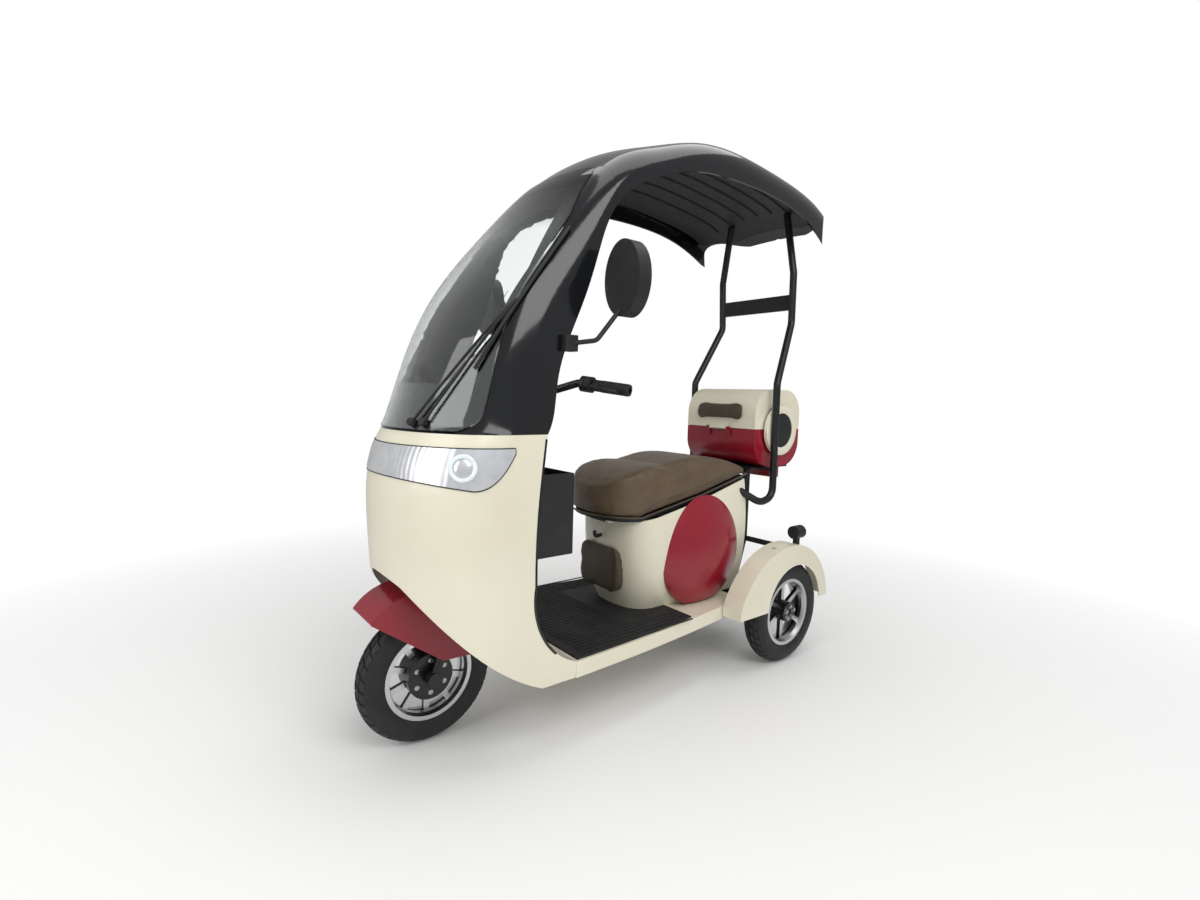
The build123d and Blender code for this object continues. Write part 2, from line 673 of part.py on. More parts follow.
def panel_outline(grow):
    """Plan of the inner panel's rear face with everything ahead of it, moved forward by grow."""
    left = [(FRONT + x + grow, y) for x, y in PANEL_BENDS]
    right = [(x, -y) for x, y in reversed(left)]
    with BuildSketch() as face:
        with BuildLine():
            Polyline(*left, *right, (FRONT, -PANEL_BENDS[0][1]), (FRONT, PANEL_BENDS[0][1]), close=True)
        make_face()
    return face.sketch


with BuildPart() as leg_shield_inner:
    with BuildSketch(Plane.XY.offset(FLOOR_TOP + MAT_THICKNESS + SEAM)):
        add(panel_outline(0))
    extrude(amount=SHELL_TOP - FLOOR_TOP - MAT_THICKNESS - SEAM)
    with BuildSketch(Plane.XY.offset(FLOOR_TOP)):
        add(panel_outline(PANEL_THICK))
    extrude(amount=SHELL_TOP, mode=Mode.SUBTRACT)
    add(shell_solid(-SHELL_WALL - SEAM, back=-200), mode=Mode.INTERSECT)
save(leg_shield_inner.part, "leg_shield_inner")

# Open-topped pockets on the inner leg shield
POCKET_TOP = 738.0
POCKET_BOTTOM = 520.0
POCKET_IN = 70.0
POCKET_OUT = 235.0
with BuildPart() as pocket_hollow:
    for side in (1, -1):
        add(
            block(
                FRONT - 308,
                FRONT - 150,
                min(side * (POCKET_IN + PANEL_WALL), side * (POCKET_OUT - PANEL_WALL)),
                max(side * (POCKET_IN + PANEL_WALL), side * (POCKET_OUT - PANEL_WALL)),
                POCKET_BOTTOM + PANEL_WALL,
                POCKET_TOP + 10,
            )
        )
with BuildPart() as panel_front:
    with BuildSketch(Plane.XY.offset(FLOOR_TOP)):
        add(panel_outline(-SEAM))
    extrude(amount=SHELL_TOP)
with BuildPart() as storage_pockets:
    for side in (1, -1):
        y_ends = sorted((side * POCKET_IN, side * POCKET_OUT))
        add(block(FRONT - 312, FRONT - 150, y_ends[0], y_ends[1], POCKET_BOTTOM, POCKET_TOP))
    add(pocket_hollow.part, mode=Mode.SUBTRACT)
    add(panel_front.part, mode=Mode.SUBTRACT)
save(storage_pockets.part, "storage_pockets")

# Dash: a shelf inside the cowl with a hood for the instrument, open round the steering stem
with BuildPart() as dash:
    with BuildSketch(level(FRONT - 200, SHELL_TOP + 24)):
        add(arch(300, 330, 150, 400))
    extrude(amount=8)
    add(canopy_solid(-FRAME_WALL - SEAM), mode=Mode.INTERSECT)
    with BuildSketch(Plane(origin=(FRONT - 130, 0, SHELL_TOP + 18))):
        Rectangle(60, 240)
    extrude(amount=100)
    with BuildSketch(Plane(origin=(axis_point(860)[0] - 20, 0, SHELL_TOP))):
        Rectangle(130, 90)
    extrude(amount=60, mode=Mode.SUBTRACT)
save(dash.part, "dash")

FENDER_TOP = 434.0

# Frame: floor rails, cross members, down tube with the steering head, and the rear subframe
RAIL_Y = 90.0
RAIL_HALF = 17.0
RAIL_Z = FLOOR_TOP - PANEL_WALL - SEAM - RAIL_HALF
HEAD_LOW = axis_point(470)
HEAD_HIGH = axis_point(820)
with BuildPart() as frame:
    for side in (1, -1):
        add(block(FRONT - 1200, FRONT - 225, side * RAIL_Y - 20, side * RAIL_Y + 20, RAIL_Z - RAIL_HALF, RAIL_Z + RAIL_HALF))
        add(tube(((FRONT - 1172, side * RAIL_Y, RAIL_Z), (FRONT - 1220, side * 100, 420), (FRONT - 1220, side * 100, 689.7)), 14, 60))
    add(drum(REAR + 12, -290, 290, FENDER_TOP - PANEL_WALL - SEAM - 10, 10))
    for x in (FRONT - 240, FRONT - 640, FRONT - 1040):
        add(block(x - 15, x + 15, -180, 180, RAIL_Z - 15, RAIL_Z + 15))
    add(tube(((FRONT - 232, 0, RAIL_Z), axis_point(620, -10)), 20))
    add(tube((HEAD_LOW, HEAD_HIGH), 24))
    with BuildSketch(Plane(origin=axis_point(400), z_dir=(-sin(RAKE), 0, cos(RAKE)))):
        Circle(STEM_RADIUS + RUNNING_GAP)
    extrude(amount=600, mode=Mode.SUBTRACT)
save(frame.part, "frame")

# Rear axle with the motor in its middle, and shock absorbers up to the subframe
AXLE_END = WHEEL_Y - HUB_HALF - 4
with BuildPart() as rear_axle:
    add(drum(REAR, -AXLE_END, AXLE_END, TYRE_RADIUS, 28))
    add(drum(REAR, -WHEEL_Y - HUB_HALF + 2, WHEEL_Y + HUB_HALF - 2, TYRE_RADIUS, SPINDLE_RADIUS))
    for side in (1, -1):
        ends = sorted((side * (AXLE_END - 30), side * AXLE_END))
        add(drum(REAR, ends[0], ends[1], TYRE_RADIUS, 62))
save(rear_axle.part, "rear_axle")

with BuildPart() as motor:
    add(drum(REAR, -62, 62, TYRE_RADIUS, 82))
    add(drum(REAR, -90, 90, TYRE_RADIUS, 28 + SEAM), mode=Mode.SUBTRACT)
save(motor.part, "motor")

ARM_Y = 130.0
ARM_FRONT = FRONT - 1055 - SEAM
with BuildPart() as swing_arms:
    for side in (1, -1):
        add(block(REAR, ARM_FRONT, side * ARM_Y - 12, side * ARM_Y + 12, TYRE_RADIUS + 10, TYRE_RADIUS + 40))
    add(drum(REAR, -200, 200, TYRE_RADIUS, 28 + SEAM), mode=Mode.SUBTRACT)
save(swing_arms.part, "swing_arms")

# Roof stays: a bent tube each side from under the seat to the roof, with a plate between them
STAY_RADIUS = 13.0
STAY_BEND = 45.0
# x ahead of the front axle, distance from the middle, height
STAY_PATH = (
    (-1105, 140, 628),
    (-1176, 199, 575),
    (-1250, 199, 590),
    (-1243, 199, 1008),
    (-1360, 165, 1235),
    (-1352, 168, 1420),
    (-1345, 130, 1640),
)
with BuildPart() as roof_space:
    add(canopy_solid(60))
    add(canopy_solid(-LINER_INSET - PANEL_WALL - SEAM, back=-30), mode=Mode.SUBTRACT)
bucket_gap = bucket_solid(SEAM)
stays = {}
for side, name in ((1, "left"), (-1, "right")):
    with BuildPart() as roof_stay:
        add(tube([(FRONT + x, side * y, z) for x, y, z in STAY_PATH], STAY_RADIUS, STAY_BEND))
        add(bucket_gap, mode=Mode.SUBTRACT)
        add(roof_space.part, mode=Mode.SUBTRACT)
    stays[name] = Part(roof_stay.part.solids().sort_by(SortBy.VOLUME)[-1].wrapped)
    save(stays[name], f"roof_stay_{name}")

stay_gap = [tube([(FRONT + x, side * y, z) for x, y, z in STAY_PATH], STAY_RADIUS + SEAM, STAY_BEND) for side in (1, -1)]
with BuildPart() as stay_plate:
    add(block(FRONT - 1360, FRONT - 1350, -172, 172, 1285, 1342))
    for gap in stay_gap:
        add(gap, mode=Mode.SUBTRACT)
plate = Part(stay_plate.part.solids().sort_by(SortBy.VOLUME)[-1].wrapped)
save(plate, "stay_plate")

# Rack under the tail box
RACK_TOP = 698.0
RACK_THICK = 8.0
BOX_FRONT = FRONT - 1172
BOX_REAR = FRONT - 1448
with BuildPart() as rack:
    add(block(BOX_REAR + 30, BOX_FRONT - 20, -140, 140, RACK_TOP - RACK_THICK, RACK_TOP))
    add(block(FRONT - 1268, FRONT - 1228, -199, 199, RACK_TOP - RACK_THICK, RACK_TOP))
    for gap in stay_gap:
        add(gap, mode=Mode.SUBTRACT)
save(Part(rack.part.solids().sort_by(SortBy.VOLUME)[-1].wrapped), "rack")

# Tail box: a rounded case split into a tub and a lid
BOX_HALF = 164.0
BOX_WALL = 4.0
BOX_SEAM = 838.0
BOX_TOP = 986.0
LID_GAP = 1.0
HINGE_X = BOX_FRONT + 8
HINGE_Z = BOX_SEAM + 0.5
HINGE_RADIUS = 6.0
HINGE_PIN = 3.0
BOX_ROUND = 92.0


def box_solid(inset):
    with BuildPart() as case:
        with BuildSketch(side_view()):
            with Locations(((BOX_FRONT + BOX_REAR) / 2, (BOX_TOP + RACK_TOP + SEAM) / 2)):
                RectangleRounded(
                    BOX_FRONT - BOX_REAR - 2 * inset,
                    BOX_TOP - RACK_TOP - SEAM - 2 * inset,
                    BOX_ROUND - inset,
                )
        extrude(amount=BOX_HALF - inset, both=True)
    return case.part


with BuildPart() as tail_box_tub:
    add(box_solid(0))
    add(box_solid(BOX_WALL), mode=Mode.SUBTRACT)
    split(bisect_by=Plane(origin=(0, 0, BOX_SEAM), z_dir=(0, 0, 1)), keep=Keep.BOTTOM)
    for side in (1, -1):
        ends = sorted((side * 41, side * 55))
        add(drum(HINGE_X, ends[0], ends[1], HINGE_Z, HINGE_RADIUS))
        add(block(BOX_FRONT - 3, HINGE_X, ends[0], ends[1], HINGE_Z - 30, HINGE_Z))
    add(drum(HINGE_X, -41, 41, HINGE_Z, HINGE_PIN))
save(tail_box_tub.part, "tail_box_tub")

with BuildPart() as tail_box_lid:
    add(box_solid(0))
    add(box_solid(BOX_WALL), mode=Mode.SUBTRACT)
    split(bisect_by=Plane(origin=(0, 0, BOX_SEAM + LID_GAP), z_dir=(0, 0, 1)), keep=Keep.TOP)
    add(drum(HINGE_X, -40, 40, HINGE_Z, HINGE_RADIUS))
    add(block(BOX_FRONT - 3, HINGE_X, -40, 40, HINGE_Z, HINGE_Z + 22))
    add(drum(HINGE_X, -60, 60, HINGE_Z, HINGE_PIN + RUNNING_GAP), mode=Mode.SUBTRACT)
save(tail_box_lid.part, "tail_box_lid")

with BuildPart() as tail_box_pad:
    add(box_solid(-12))
    add(box_solid(-SEAM), mode=Mode.SUBTRACT)
    add(prism((mirrored(((112, 935), (112, 868))), 24), 2000, keep_front=False), mode=Mode.INTERSECT)
    split(bisect_by=Plane(origin=(BOX_FRONT - 100, 0, 0), z_dir=(1, 0, 0)), keep=Keep.TOP)
save(tail_box_pad.part, "tail_box_pad")

CAP_X = (BOX_FRONT + BOX_REAR) / 2
CAP_RADIUS = 92.0
with BuildPart() as tail_box_caps:
    for side in (1, -1):
        ends = sorted((side * (BOX_HALF + 6), side * (BOX_HALF + 18)))
        add(drum(CAP_X, ends[0], ends[1], BOX_SEAM - 3, CAP_RADIUS))
        ends = sorted((side * (BOX_HALF + SEAM), side * (BOX_HALF + 7)))
        add(block(CAP_X - 40, CAP_X + 40, ends[0], ends[1], BOX_SEAM - 70, BOX_SEAM - 10))
    for gap in stay_gap:
        add(gap, mode=Mode.SUBTRACT)
save(tail_box_caps.part, "tail_box_caps")

# Rear fenders: hooded side outlines with a round wheel opening
FENDER_IN = 238.0
FENDER_OUT = 314.0
OPENING_X = REAR - 20
OPENING_Z = 200.0
OPENING_RADIUS = 158.0


def crown_mid(top, end):
    """Middle of the arc that is level at top and runs down to end."""
    across = end[0] - top[0]
    radius = (across**2 + (top[1] - end[1]) ** 2) / (2 * (top[1] - end[1]))
    turn = atan2(across, end[1] - top[1] + radius) / 2
    return (top[0] + radius * sin(turn), top[1] - radius + radius * cos(turn))


def rear_hood(inset, side):
    low = FLOOR_BOTTOM + 12
    with BuildPart() as hood:
        with BuildSketch(side_view(side * (FENDER_IN - inset))):
            with BuildLine():
                front_low = (REAR + 290 - inset, low + 30)
                top = (REAR + 12, FENDER_TOP - inset)
                rear_low = (REAR - 226 + inset, low)
                ThreePointArc(front_low, crown_mid(top, front_low), top)
                ThreePointArc(top, crown_mid(top, rear_low), rear_low)
                Polyline(rear_low, (REAR - 226 + inset, low - 60), (REAR + 290 - inset, low - 60), front_low)
            make_face()
        extrude(amount=-side * (FENDER_OUT - FENDER_IN))
    return hood.part


for side, name in ((1, "left"), (-1, "right")):
    with BuildPart() as rear_fender:
        add(rear_hood(0, side))
        add(rear_hood(PANEL_WALL, side), mode=Mode.SUBTRACT)
        add(drum(OPENING_X, -400, 400, OPENING_Z, OPENING_RADIUS), mode=Mode.SUBTRACT)
        add(block(REAR - 400, REAR + 400, -400, 400, 0, FLOOR_BOTTOM + 12), mode=Mode.SUBTRACT)
    save(Part(rear_fender.part.solids().sort_by(SortBy.VOLUME)[-1].wrapped), f"rear_fender_{name}")

with BuildPart() as rear_indicators:
    for side in (1, -1):
        with BuildSketch(front_view(REAR - 110)):
            with Locations((side * 262, 462)):
                Circle(24)
        extrude(amount=48)
        add(block(REAR - 95, REAR - 75, side * 262 - 8, side * 262 + 8, 400, 450))
        add(rear_hood(-SEAM, side), mode=Mode.SUBTRACT)
save(rear_indicators.part, "rear_indicators")

with BuildPart() as tail_lamp:
    add(block(BOX_REAR + 10, BOX_REAR + 40, -90, 90, RACK_TOP - RACK_THICK - 50, RACK_TOP - RACK_THICK - SEAM))
save(tail_lamp.part, "tail_lamp")

# Mirrors on the pillars
canopy_gap = canopy_solid(SEAM)
for side, name in ((1, "left"), (-1, "right")):
    with BuildPart() as mirror:
        path = ((FRONT - 256, 286, 1072), (FRONT - 300, 330, 1080), (FRONT - 372, 352, 1180))
        add(tube([(x, side * y, z) for x, y, z in path], 6, 20))
        ends = sorted((side * 262, side * 294))
        add(block(FRONT - 270, FRONT - 232, ends[0], ends[1], 1052, 1092))
        add(canopy_gap, mode=Mode.SUBTRACT)
        with BuildSketch(front_view(FRONT - 392)):
            with Locations((side * 356, 1236)):
                Ellipse(66, 94)
        extrude(amount=40)
    save(Part(mirror.part.solids().sort_by(SortBy.VOLUME)[-1].wrapped), f"mirror_{name}")
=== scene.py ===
"""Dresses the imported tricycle: finishes for its solids, padded pieces, tyres, trim and a plain stage."""

import json
import math

import bmesh
import bpy
import numpy as np
from bpy.props import FloatProperty, FloatVectorProperty, IntProperty, PointerProperty, StringProperty
from mathutils import Euler, Matrix, Vector


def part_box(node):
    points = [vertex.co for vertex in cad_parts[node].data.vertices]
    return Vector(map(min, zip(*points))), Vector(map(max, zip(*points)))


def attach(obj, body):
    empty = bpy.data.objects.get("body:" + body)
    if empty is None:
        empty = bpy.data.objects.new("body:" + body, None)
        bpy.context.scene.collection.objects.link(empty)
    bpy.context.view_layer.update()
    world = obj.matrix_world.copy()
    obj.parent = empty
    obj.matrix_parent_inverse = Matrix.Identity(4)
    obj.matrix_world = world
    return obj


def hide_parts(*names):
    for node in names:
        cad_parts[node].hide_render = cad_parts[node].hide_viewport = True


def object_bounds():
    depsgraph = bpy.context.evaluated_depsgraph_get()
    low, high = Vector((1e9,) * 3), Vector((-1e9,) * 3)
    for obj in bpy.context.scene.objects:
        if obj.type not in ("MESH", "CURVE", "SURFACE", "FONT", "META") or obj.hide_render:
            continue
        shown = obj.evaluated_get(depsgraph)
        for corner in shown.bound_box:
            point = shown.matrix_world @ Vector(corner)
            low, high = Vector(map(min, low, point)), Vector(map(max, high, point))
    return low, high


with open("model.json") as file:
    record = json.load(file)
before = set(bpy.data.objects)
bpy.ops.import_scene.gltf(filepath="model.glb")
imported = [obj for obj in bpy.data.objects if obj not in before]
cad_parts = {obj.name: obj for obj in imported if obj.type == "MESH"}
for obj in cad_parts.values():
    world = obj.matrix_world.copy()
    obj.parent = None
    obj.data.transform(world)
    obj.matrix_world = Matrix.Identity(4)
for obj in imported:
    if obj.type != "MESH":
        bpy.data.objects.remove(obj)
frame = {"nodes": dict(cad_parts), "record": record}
CAD_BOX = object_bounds()

bl_info = {
    "name": "Covered tricycle dressing",
    "version": (1, 0, 0),
    "blender": (4, 5, 0),
    "location": "3D View > Sidebar > Tricycle",
    "description": "Finishes, soft parts, tread, trim and stage for a covered electric tricycle",
    "category": "Object",
}

MM = 0.001
SIDES = ((1, "left"), (-1, "right"))
WHEELS = ("front", "rear_left", "rear_right")


def wheel_centre(wheel):
    """Middle of a wheel, from its tyre's box."""
    low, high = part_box(f"{wheel}_tyre")
    return (low + high) / 2


FRONT = wheel_centre("front").x
REAR = wheel_centre("rear_left").x


def linear(code):
    """An sRGB hex colour as linear RGBA."""
    channels = [int(code[i : i + 2], 16) / 255 for i in (0, 2, 4)]
    return tuple(c / 12.92 if c <= 0.04045 else ((c + 0.055) / 1.055) ** 2.4 for c in channels) + (1.0,)


def put(tree, kind, inputs=None, **settings):
    """Adds a node with its settings; an input is a value or another node's output socket."""
    made = tree.nodes.new(kind)
    for name, value in settings.items():
        setattr(made, name, value)
    for key, value in (inputs or {}).items():
        if isinstance(value, bpy.types.NodeSocket):
            tree.links.new(value, made.inputs[key])
        else:
            made.inputs[key].default_value = value
    return made


class FinishSettings(bpy.types.PropertyGroup):
    """Colours of the finishes, as sRGB hex."""

    cream: StringProperty(name="Cream", description="Bodywork paint", default="E9E4CF")
    red: StringProperty(name="Red", description="Fender, side cover and tail box paint", default="930F25")
    canopy: StringProperty(name="Canopy", description="Gloss black of the canopy", default="0C0D10")
    trim: StringProperty(name="Trim", description="Textured black trim", default="1A1B1D")
    seat: StringProperty(name="Seat", description="Seat cover", default="65543F")
    pad: StringProperty(name="Pad", description="Calf pad and backrest cover", default="4B402E")


class SoftSettings(bpy.types.PropertyGroup):
    """Sizes of the padded pieces."""

    voxel: FloatProperty(name="Voxel", description="Remesh size", default=5.0 * MM, unit="LENGTH")
    pressure: FloatProperty(name="Pressure", description="Cloth pressure that swells a pad", default=4.0)
    frames: IntProperty(name="Frames", description="Steps of the cloth simulation", default=20)
    seat_cap: FloatProperty(name="Seat cap", description="Most the seat swells", default=6.0 * MM, unit="LENGTH")
    pad_cap: FloatProperty(name="Pad cap", description="Most a pad swells", default=5.0 * MM, unit="LENGTH")
    welt: FloatProperty(name="Welt", description="Radius of the sewn edge", default=3.0 * MM, unit="LENGTH")


class TyreSettings(bpy.types.PropertyGroup):
    """Sizes of the tyres' tread."""

    pitches: IntProperty(name="Pitches", description="Tread segments round a tyre", default=34)
    depth: FloatProperty(name="Depth", description="Groove depth", default=4.0 * MM, unit="LENGTH")


class StageSettings(bpy.types.PropertyGroup):
    """Camera and light."""

    camera: FloatVectorProperty(
        name="Camera", description="Camera's place", default=(1.2746, 1.5082, 0.9433), subtype="TRANSLATION"
    )
    aim: FloatVectorProperty(
        name="Aim",
        description="Yaw, pitch and roll of the view",
        default=[math.radians(angle) for angle in (51.15, -5.13, 1.66)],
        subtype="EULER",
    )
    lens: FloatProperty(name="Lens", description="Focal length on a 36 mm wide sensor", default=18.0)
    floor: StringProperty(name="Floor", description="Colour of the floor", default="F4F4F3")


# Finishes

FINISHES = {}
MOTTLE_STOPS = (0.35, 0.65)
# cast wheels: where the bright lip begins, how far out the spokes' faces lie, where the black hub ends
LIP_FROM = 106 * MM
FACE_FROM = 6.4 * MM
HUB_TO = {"front": 64 * MM, "rear_left": 37.5 * MM, "rear_right": 37.5 * MM}
WHEEL_BLACK = "101113"
WHEEL_BRIGHT = "C9CACC"
LATHE_MARKS = 1.2 * MM
# heights between which the screen's printed band fades in
TINT_LOW = 1.36
TINT_HIGH = 1.5


def new_finish(name, colour, roughness, **sockets):
    """A material with a principled shader, its even values set on the shader's own sockets."""
    material = bpy.data.materials.new(name)
    material.use_nodes = True
    tree = material.node_tree
    shader = tree.nodes["Principled BSDF"]
    shader.inputs["Base Color"].default_value = linear(colour)
    shader.inputs["Roughness"].default_value = roughness
    for socket, value in sockets.items():
        shader.inputs[socket.replace("_", " ")].default_value = value
    material.diffuse_color = linear(colour)
    return material, tree, shader


def mottle(tree, shader, tones, size, detail=3.0):
    """Base colour that drifts between two hex tones over patches of a size in millimetres."""
    place = put(tree, "ShaderNodeTexCoord").outputs["Object"]
    noise = put(tree, "ShaderNodeTexNoise", {"Vector": place, "Scale": 1 / (size * MM), "Detail": detail})
    ramp = put(tree, "ShaderNodeValToRGB", {"Fac": noise.outputs["Fac"]})
    for element, tone, position in zip(ramp.color_ramp.elements, tones, MOTTLE_STOPS):
        element.color = linear(tone)
        element.position = position
    tree.links.new(ramp.outputs["Color"], shader.inputs["Base Color"])
    return place


def smudge(tree, shader, place, low, high, size):
    """Roughness between two values over patches of a size in millimetres, as handled surfaces have it."""
    noise = put(tree, "ShaderNodeTexNoise", {"Vector": place, "Scale": 1 / (size * MM), "Detail": 4.0})
    span = put(tree, "ShaderNodeMapRange", {"Value": noise.outputs["Fac"], "To Min": low, "To Max": high})
    tree.links.new(span.outputs["Result"], shader.inputs["Roughness"])


def grain(tree, shader, place, size, height, kind="Noise", strength=1.0, output="Fac", **settings):
    """Bump from a texture whose features have a size and a height in millimetres; returns the texture."""
    texture = put(tree, f"ShaderNodeTex{kind}", {"Vector": place, "Scale": 1 / (size * MM)}, **settings)
    relief = {"Height": texture.outputs[output], "Distance": height * MM, "Strength": strength}
    bump = put(tree, "ShaderNodeBump", relief)
    tree.links.new(bump.outputs["Normal"], shader.inputs["Normal"])
    return texture


def patterned(name, colour, roughness, tones, patch, marks=(), relief=(), detail=3.0, **sockets):
    """A mottled finish with the marks that smudge() takes and the relief that grain() takes, where given."""
    material, tree, shader = new_finish(name, colour, roughness, **sockets)
    place = mottle(tree, shader, tones, patch, detail)
    if marks:
        smudge(tree, shader, place, *marks)
    if relief:
        grain(tree, shader, place, *relief)
    return material


def painted_abs(name, colour, deeper):
    """Painted and lacquered ABS: even colour under a clear coat with a trace of orange peel."""
    coat = {"Coat_Weight": 0.35, "Coat_Roughness": 0.06, "IOR": 1.45}
    return patterned(name, colour, 0.32, (colour, deeper), 260, (0.26, 0.38, 90), (5, 0.03), **coat)


def powder_coat(name, colour, lighter):
    """Powder coated steel: satin with a fine orange peel."""
    return patterned(name, colour, 0.35, (colour, lighter), 60, (0.28, 0.45, 40), (2, 0.04), IOR=1.5)


def vinyl(name, colour, deeper):
    """Seat vinyl: embossed leather grain, drawn at 2.6 mm so that it shows, with a soft sheen."""
    emboss = (2.6, 0.22, "Voronoi", 0.55, "Distance")
    sheen = {"IOR": 1.5, "Sheen_Weight": 0.15, "Sheen_Roughness": 0.4}
    return patterned(name, colour, 0.5, (colour, deeper), 55, (0.42, 0.58, 50), emboss, 5.0, **sheen)


def coloured_lens(name, colour, deeper):
    """Moulded acrylic lamp lens with small prisms on its face."""
    prisms = (4, 0.4, "Voronoi", 0.6, "Distance")
    return patterned(name, colour, 0.15, (colour, deeper), 30, (), prisms, IOR=1.49, Coat_Weight=0.4)


def clear_lens():
    """Moulded polycarbonate headlamp lens with faint upright flutes."""
    material, tree, shader = new_finish(
        "clear_polycarbonate", "F4F8FA", 0.03, Transmission_Weight=1.0, IOR=1.58
    )
    place = put(tree, "ShaderNodeTexCoord").outputs["Object"]
    flutes = grain(tree, shader, place, 60, 0.15, "Wave", 0.3, bands_direction="Y")
    flutes.inputs["Distortion"].default_value = 0.4
    return material


def bright_reflector():
    """Vacuum-metallised reflector: bright, with soft upright facets."""
    material, tree, shader = new_finish(
        "metallised_reflector", "DDE0E3", 0.25, Metallic=0.5, Coat_Weight=1.0
    )
    place = mottle(tree, shader, ("D6D9DD", "E4E6E9"), 35)
    grain(tree, shader, place, 45, 0.8, "Wave", 0.5, bands_direction="Y")
    return material


def screen_sheet():
    """Hard-coated acrylic sheet: clear, printed black along its top edge with a fading band."""
    material, tree, shader = new_finish("acrylic_screen", "FFFFFF", 0.02, Transmission_Weight=1.0, IOR=1.49)
    place = put(tree, "ShaderNodeTexCoord").outputs["Object"]
    height = put(tree, "ShaderNodeSeparateXYZ", {0: place}).outputs["Z"]
    band = put(tree, "ShaderNodeMapRange", {"Value": height, "From Min": TINT_LOW, "From Max": TINT_HIGH})
    ramp = put(tree, "ShaderNodeValToRGB", {"Fac": band.outputs["Result"]})
    ramp.color_ramp.elements[0].color = linear("F4F7F7")
    ramp.color_ramp.elements[1].color = linear("0A0B0D")
    tree.links.new(ramp.outputs["Color"], shader.inputs["Base Color"])
    return material


def cast_wheel(wheel):
    """Cast aluminium wheel: machined lip and spoke faces, the hub and the well behind them painted black."""
    material, tree, shader = new_finish(f"cast_wheel_{wheel}", WHEEL_BLACK, 0.28, IOR=1.5)
    place = put(tree, "ShaderNodeTexCoord").outputs["Object"]
    centre = wheel_centre(wheel)
    shifted = put(tree, "ShaderNodeVectorMath", {0: place, 1: centre}, operation="SUBTRACT").outputs[0]
    parts = put(tree, "ShaderNodeSeparateXYZ", {0: shifted})
    flat = put(tree, "ShaderNodeCombineXYZ", {"X": parts.outputs["X"], "Z": parts.outputs["Z"]})
    radius = put(tree, "ShaderNodeVectorMath", {0: flat.outputs[0]}, operation="LENGTH").outputs["Value"]
    side = put(tree, "ShaderNodeMath", {0: parts.outputs["Y"]}, operation="ABSOLUTE").outputs[0]
    made = {"radius": radius, "side": side}
    for name, operation, first, second in (
        ("lip", "GREATER_THAN", "radius", LIP_FROM),
        ("face", "GREATER_THAN", "side", FACE_FROM),
        ("past_hub", "GREATER_THAN", "radius", HUB_TO[wheel]),
        ("spokes", "MULTIPLY", "past_hub", "face"),
        ("bright", "MAXIMUM", "lip", "spokes"),
        ("rings", "MULTIPLY", "radius", 1 / LATHE_MARKS),
        ("wave", "SINE", "rings", 0.0),
    ):
        inputs = {0: made[first], 1: made.get(second, second)}
        made[name] = put(tree, "ShaderNodeMath", inputs, operation=operation).outputs[0]
    ramp = put(tree, "ShaderNodeValToRGB", {"Fac": made["bright"]})
    ramp.color_ramp.elements[0].color = linear(WHEEL_BLACK)
    ramp.color_ramp.elements[1].color = linear(WHEEL_BRIGHT)
    tree.links.new(ramp.outputs["Color"], shader.inputs["Base Color"])
    tree.links.new(made["bright"], shader.inputs["Metallic"])
    bump = put(tree, "ShaderNodeBump", {"Height": made["wave"], "Distance": 0.02 * MM, "Strength": 0.6})
    tree.links.new(bump.outputs["Normal"], shader.inputs["Normal"])
    return material


RUBBER = {"IOR": 1.52}
METAL = {"Metallic": 1.0}
# slot, material's name, colour, roughness, tones, patch in mm, marks, relief, the shader's own sockets
PATTERNS = (
    # calendered sheet, matt and slightly dusty between its ribs
    ("mat_rubber", "floor_rubber", "1C1C1E", 0.68, ("18181A", "242425"), 70, (0.55, 0.78, 45), (2.5, 0.15),
     RUBBER),
    # carbon black, matt on the tread and waxy on the wall
    ("tyre", "tyre_rubber", "151516", 0.6, ("131314", "1D1D1E"), 30, (0.5, 0.72, 25), (1.5, 0.08), RUBBER),
    ("grip_rubber", "grip_rubber", "161617", 0.7, ("141415", "1E1E1F"), 20, (), (1.5, 0.15), RUBBER),
    # sand-cast housing
    ("motor_alloy", "cast_alloy", "8C8E90", 0.5, ("84868A", "9A9C9E"), 25, (0.4, 0.6, 15), (2, 0.15), METAL),
    ("zinc", "zinc_plated_steel", "A9ABAE", 0.3, ("A9ABAE", "B9BBBD"), 6, (0.22, 0.42, 4), (), METAL),
    ("mirror_glass", "silvered_glass", "D8DCDE", 0.03, ("D2D6D8", "DEE2E4"), 60, (0.02, 0.06, 40), (), METAL),
    ("diffuser", "opal_polycarbonate", "F3F5F6", 0.3, ("EEF1F2", "F8F9FA"), 12, (0.25, 0.4, 10), (),
     {"IOR": 1.58, "Subsurface_Weight": 0.2}),
    # cover glass of a display that is off
    ("display", "smoked_display_glass", "15191B", 0.08, ("12171A", "1B2123"), 50, (0.05, 0.14, 30), (),
     {"IOR": 1.5, "Coat_Weight": 0.5}),
)


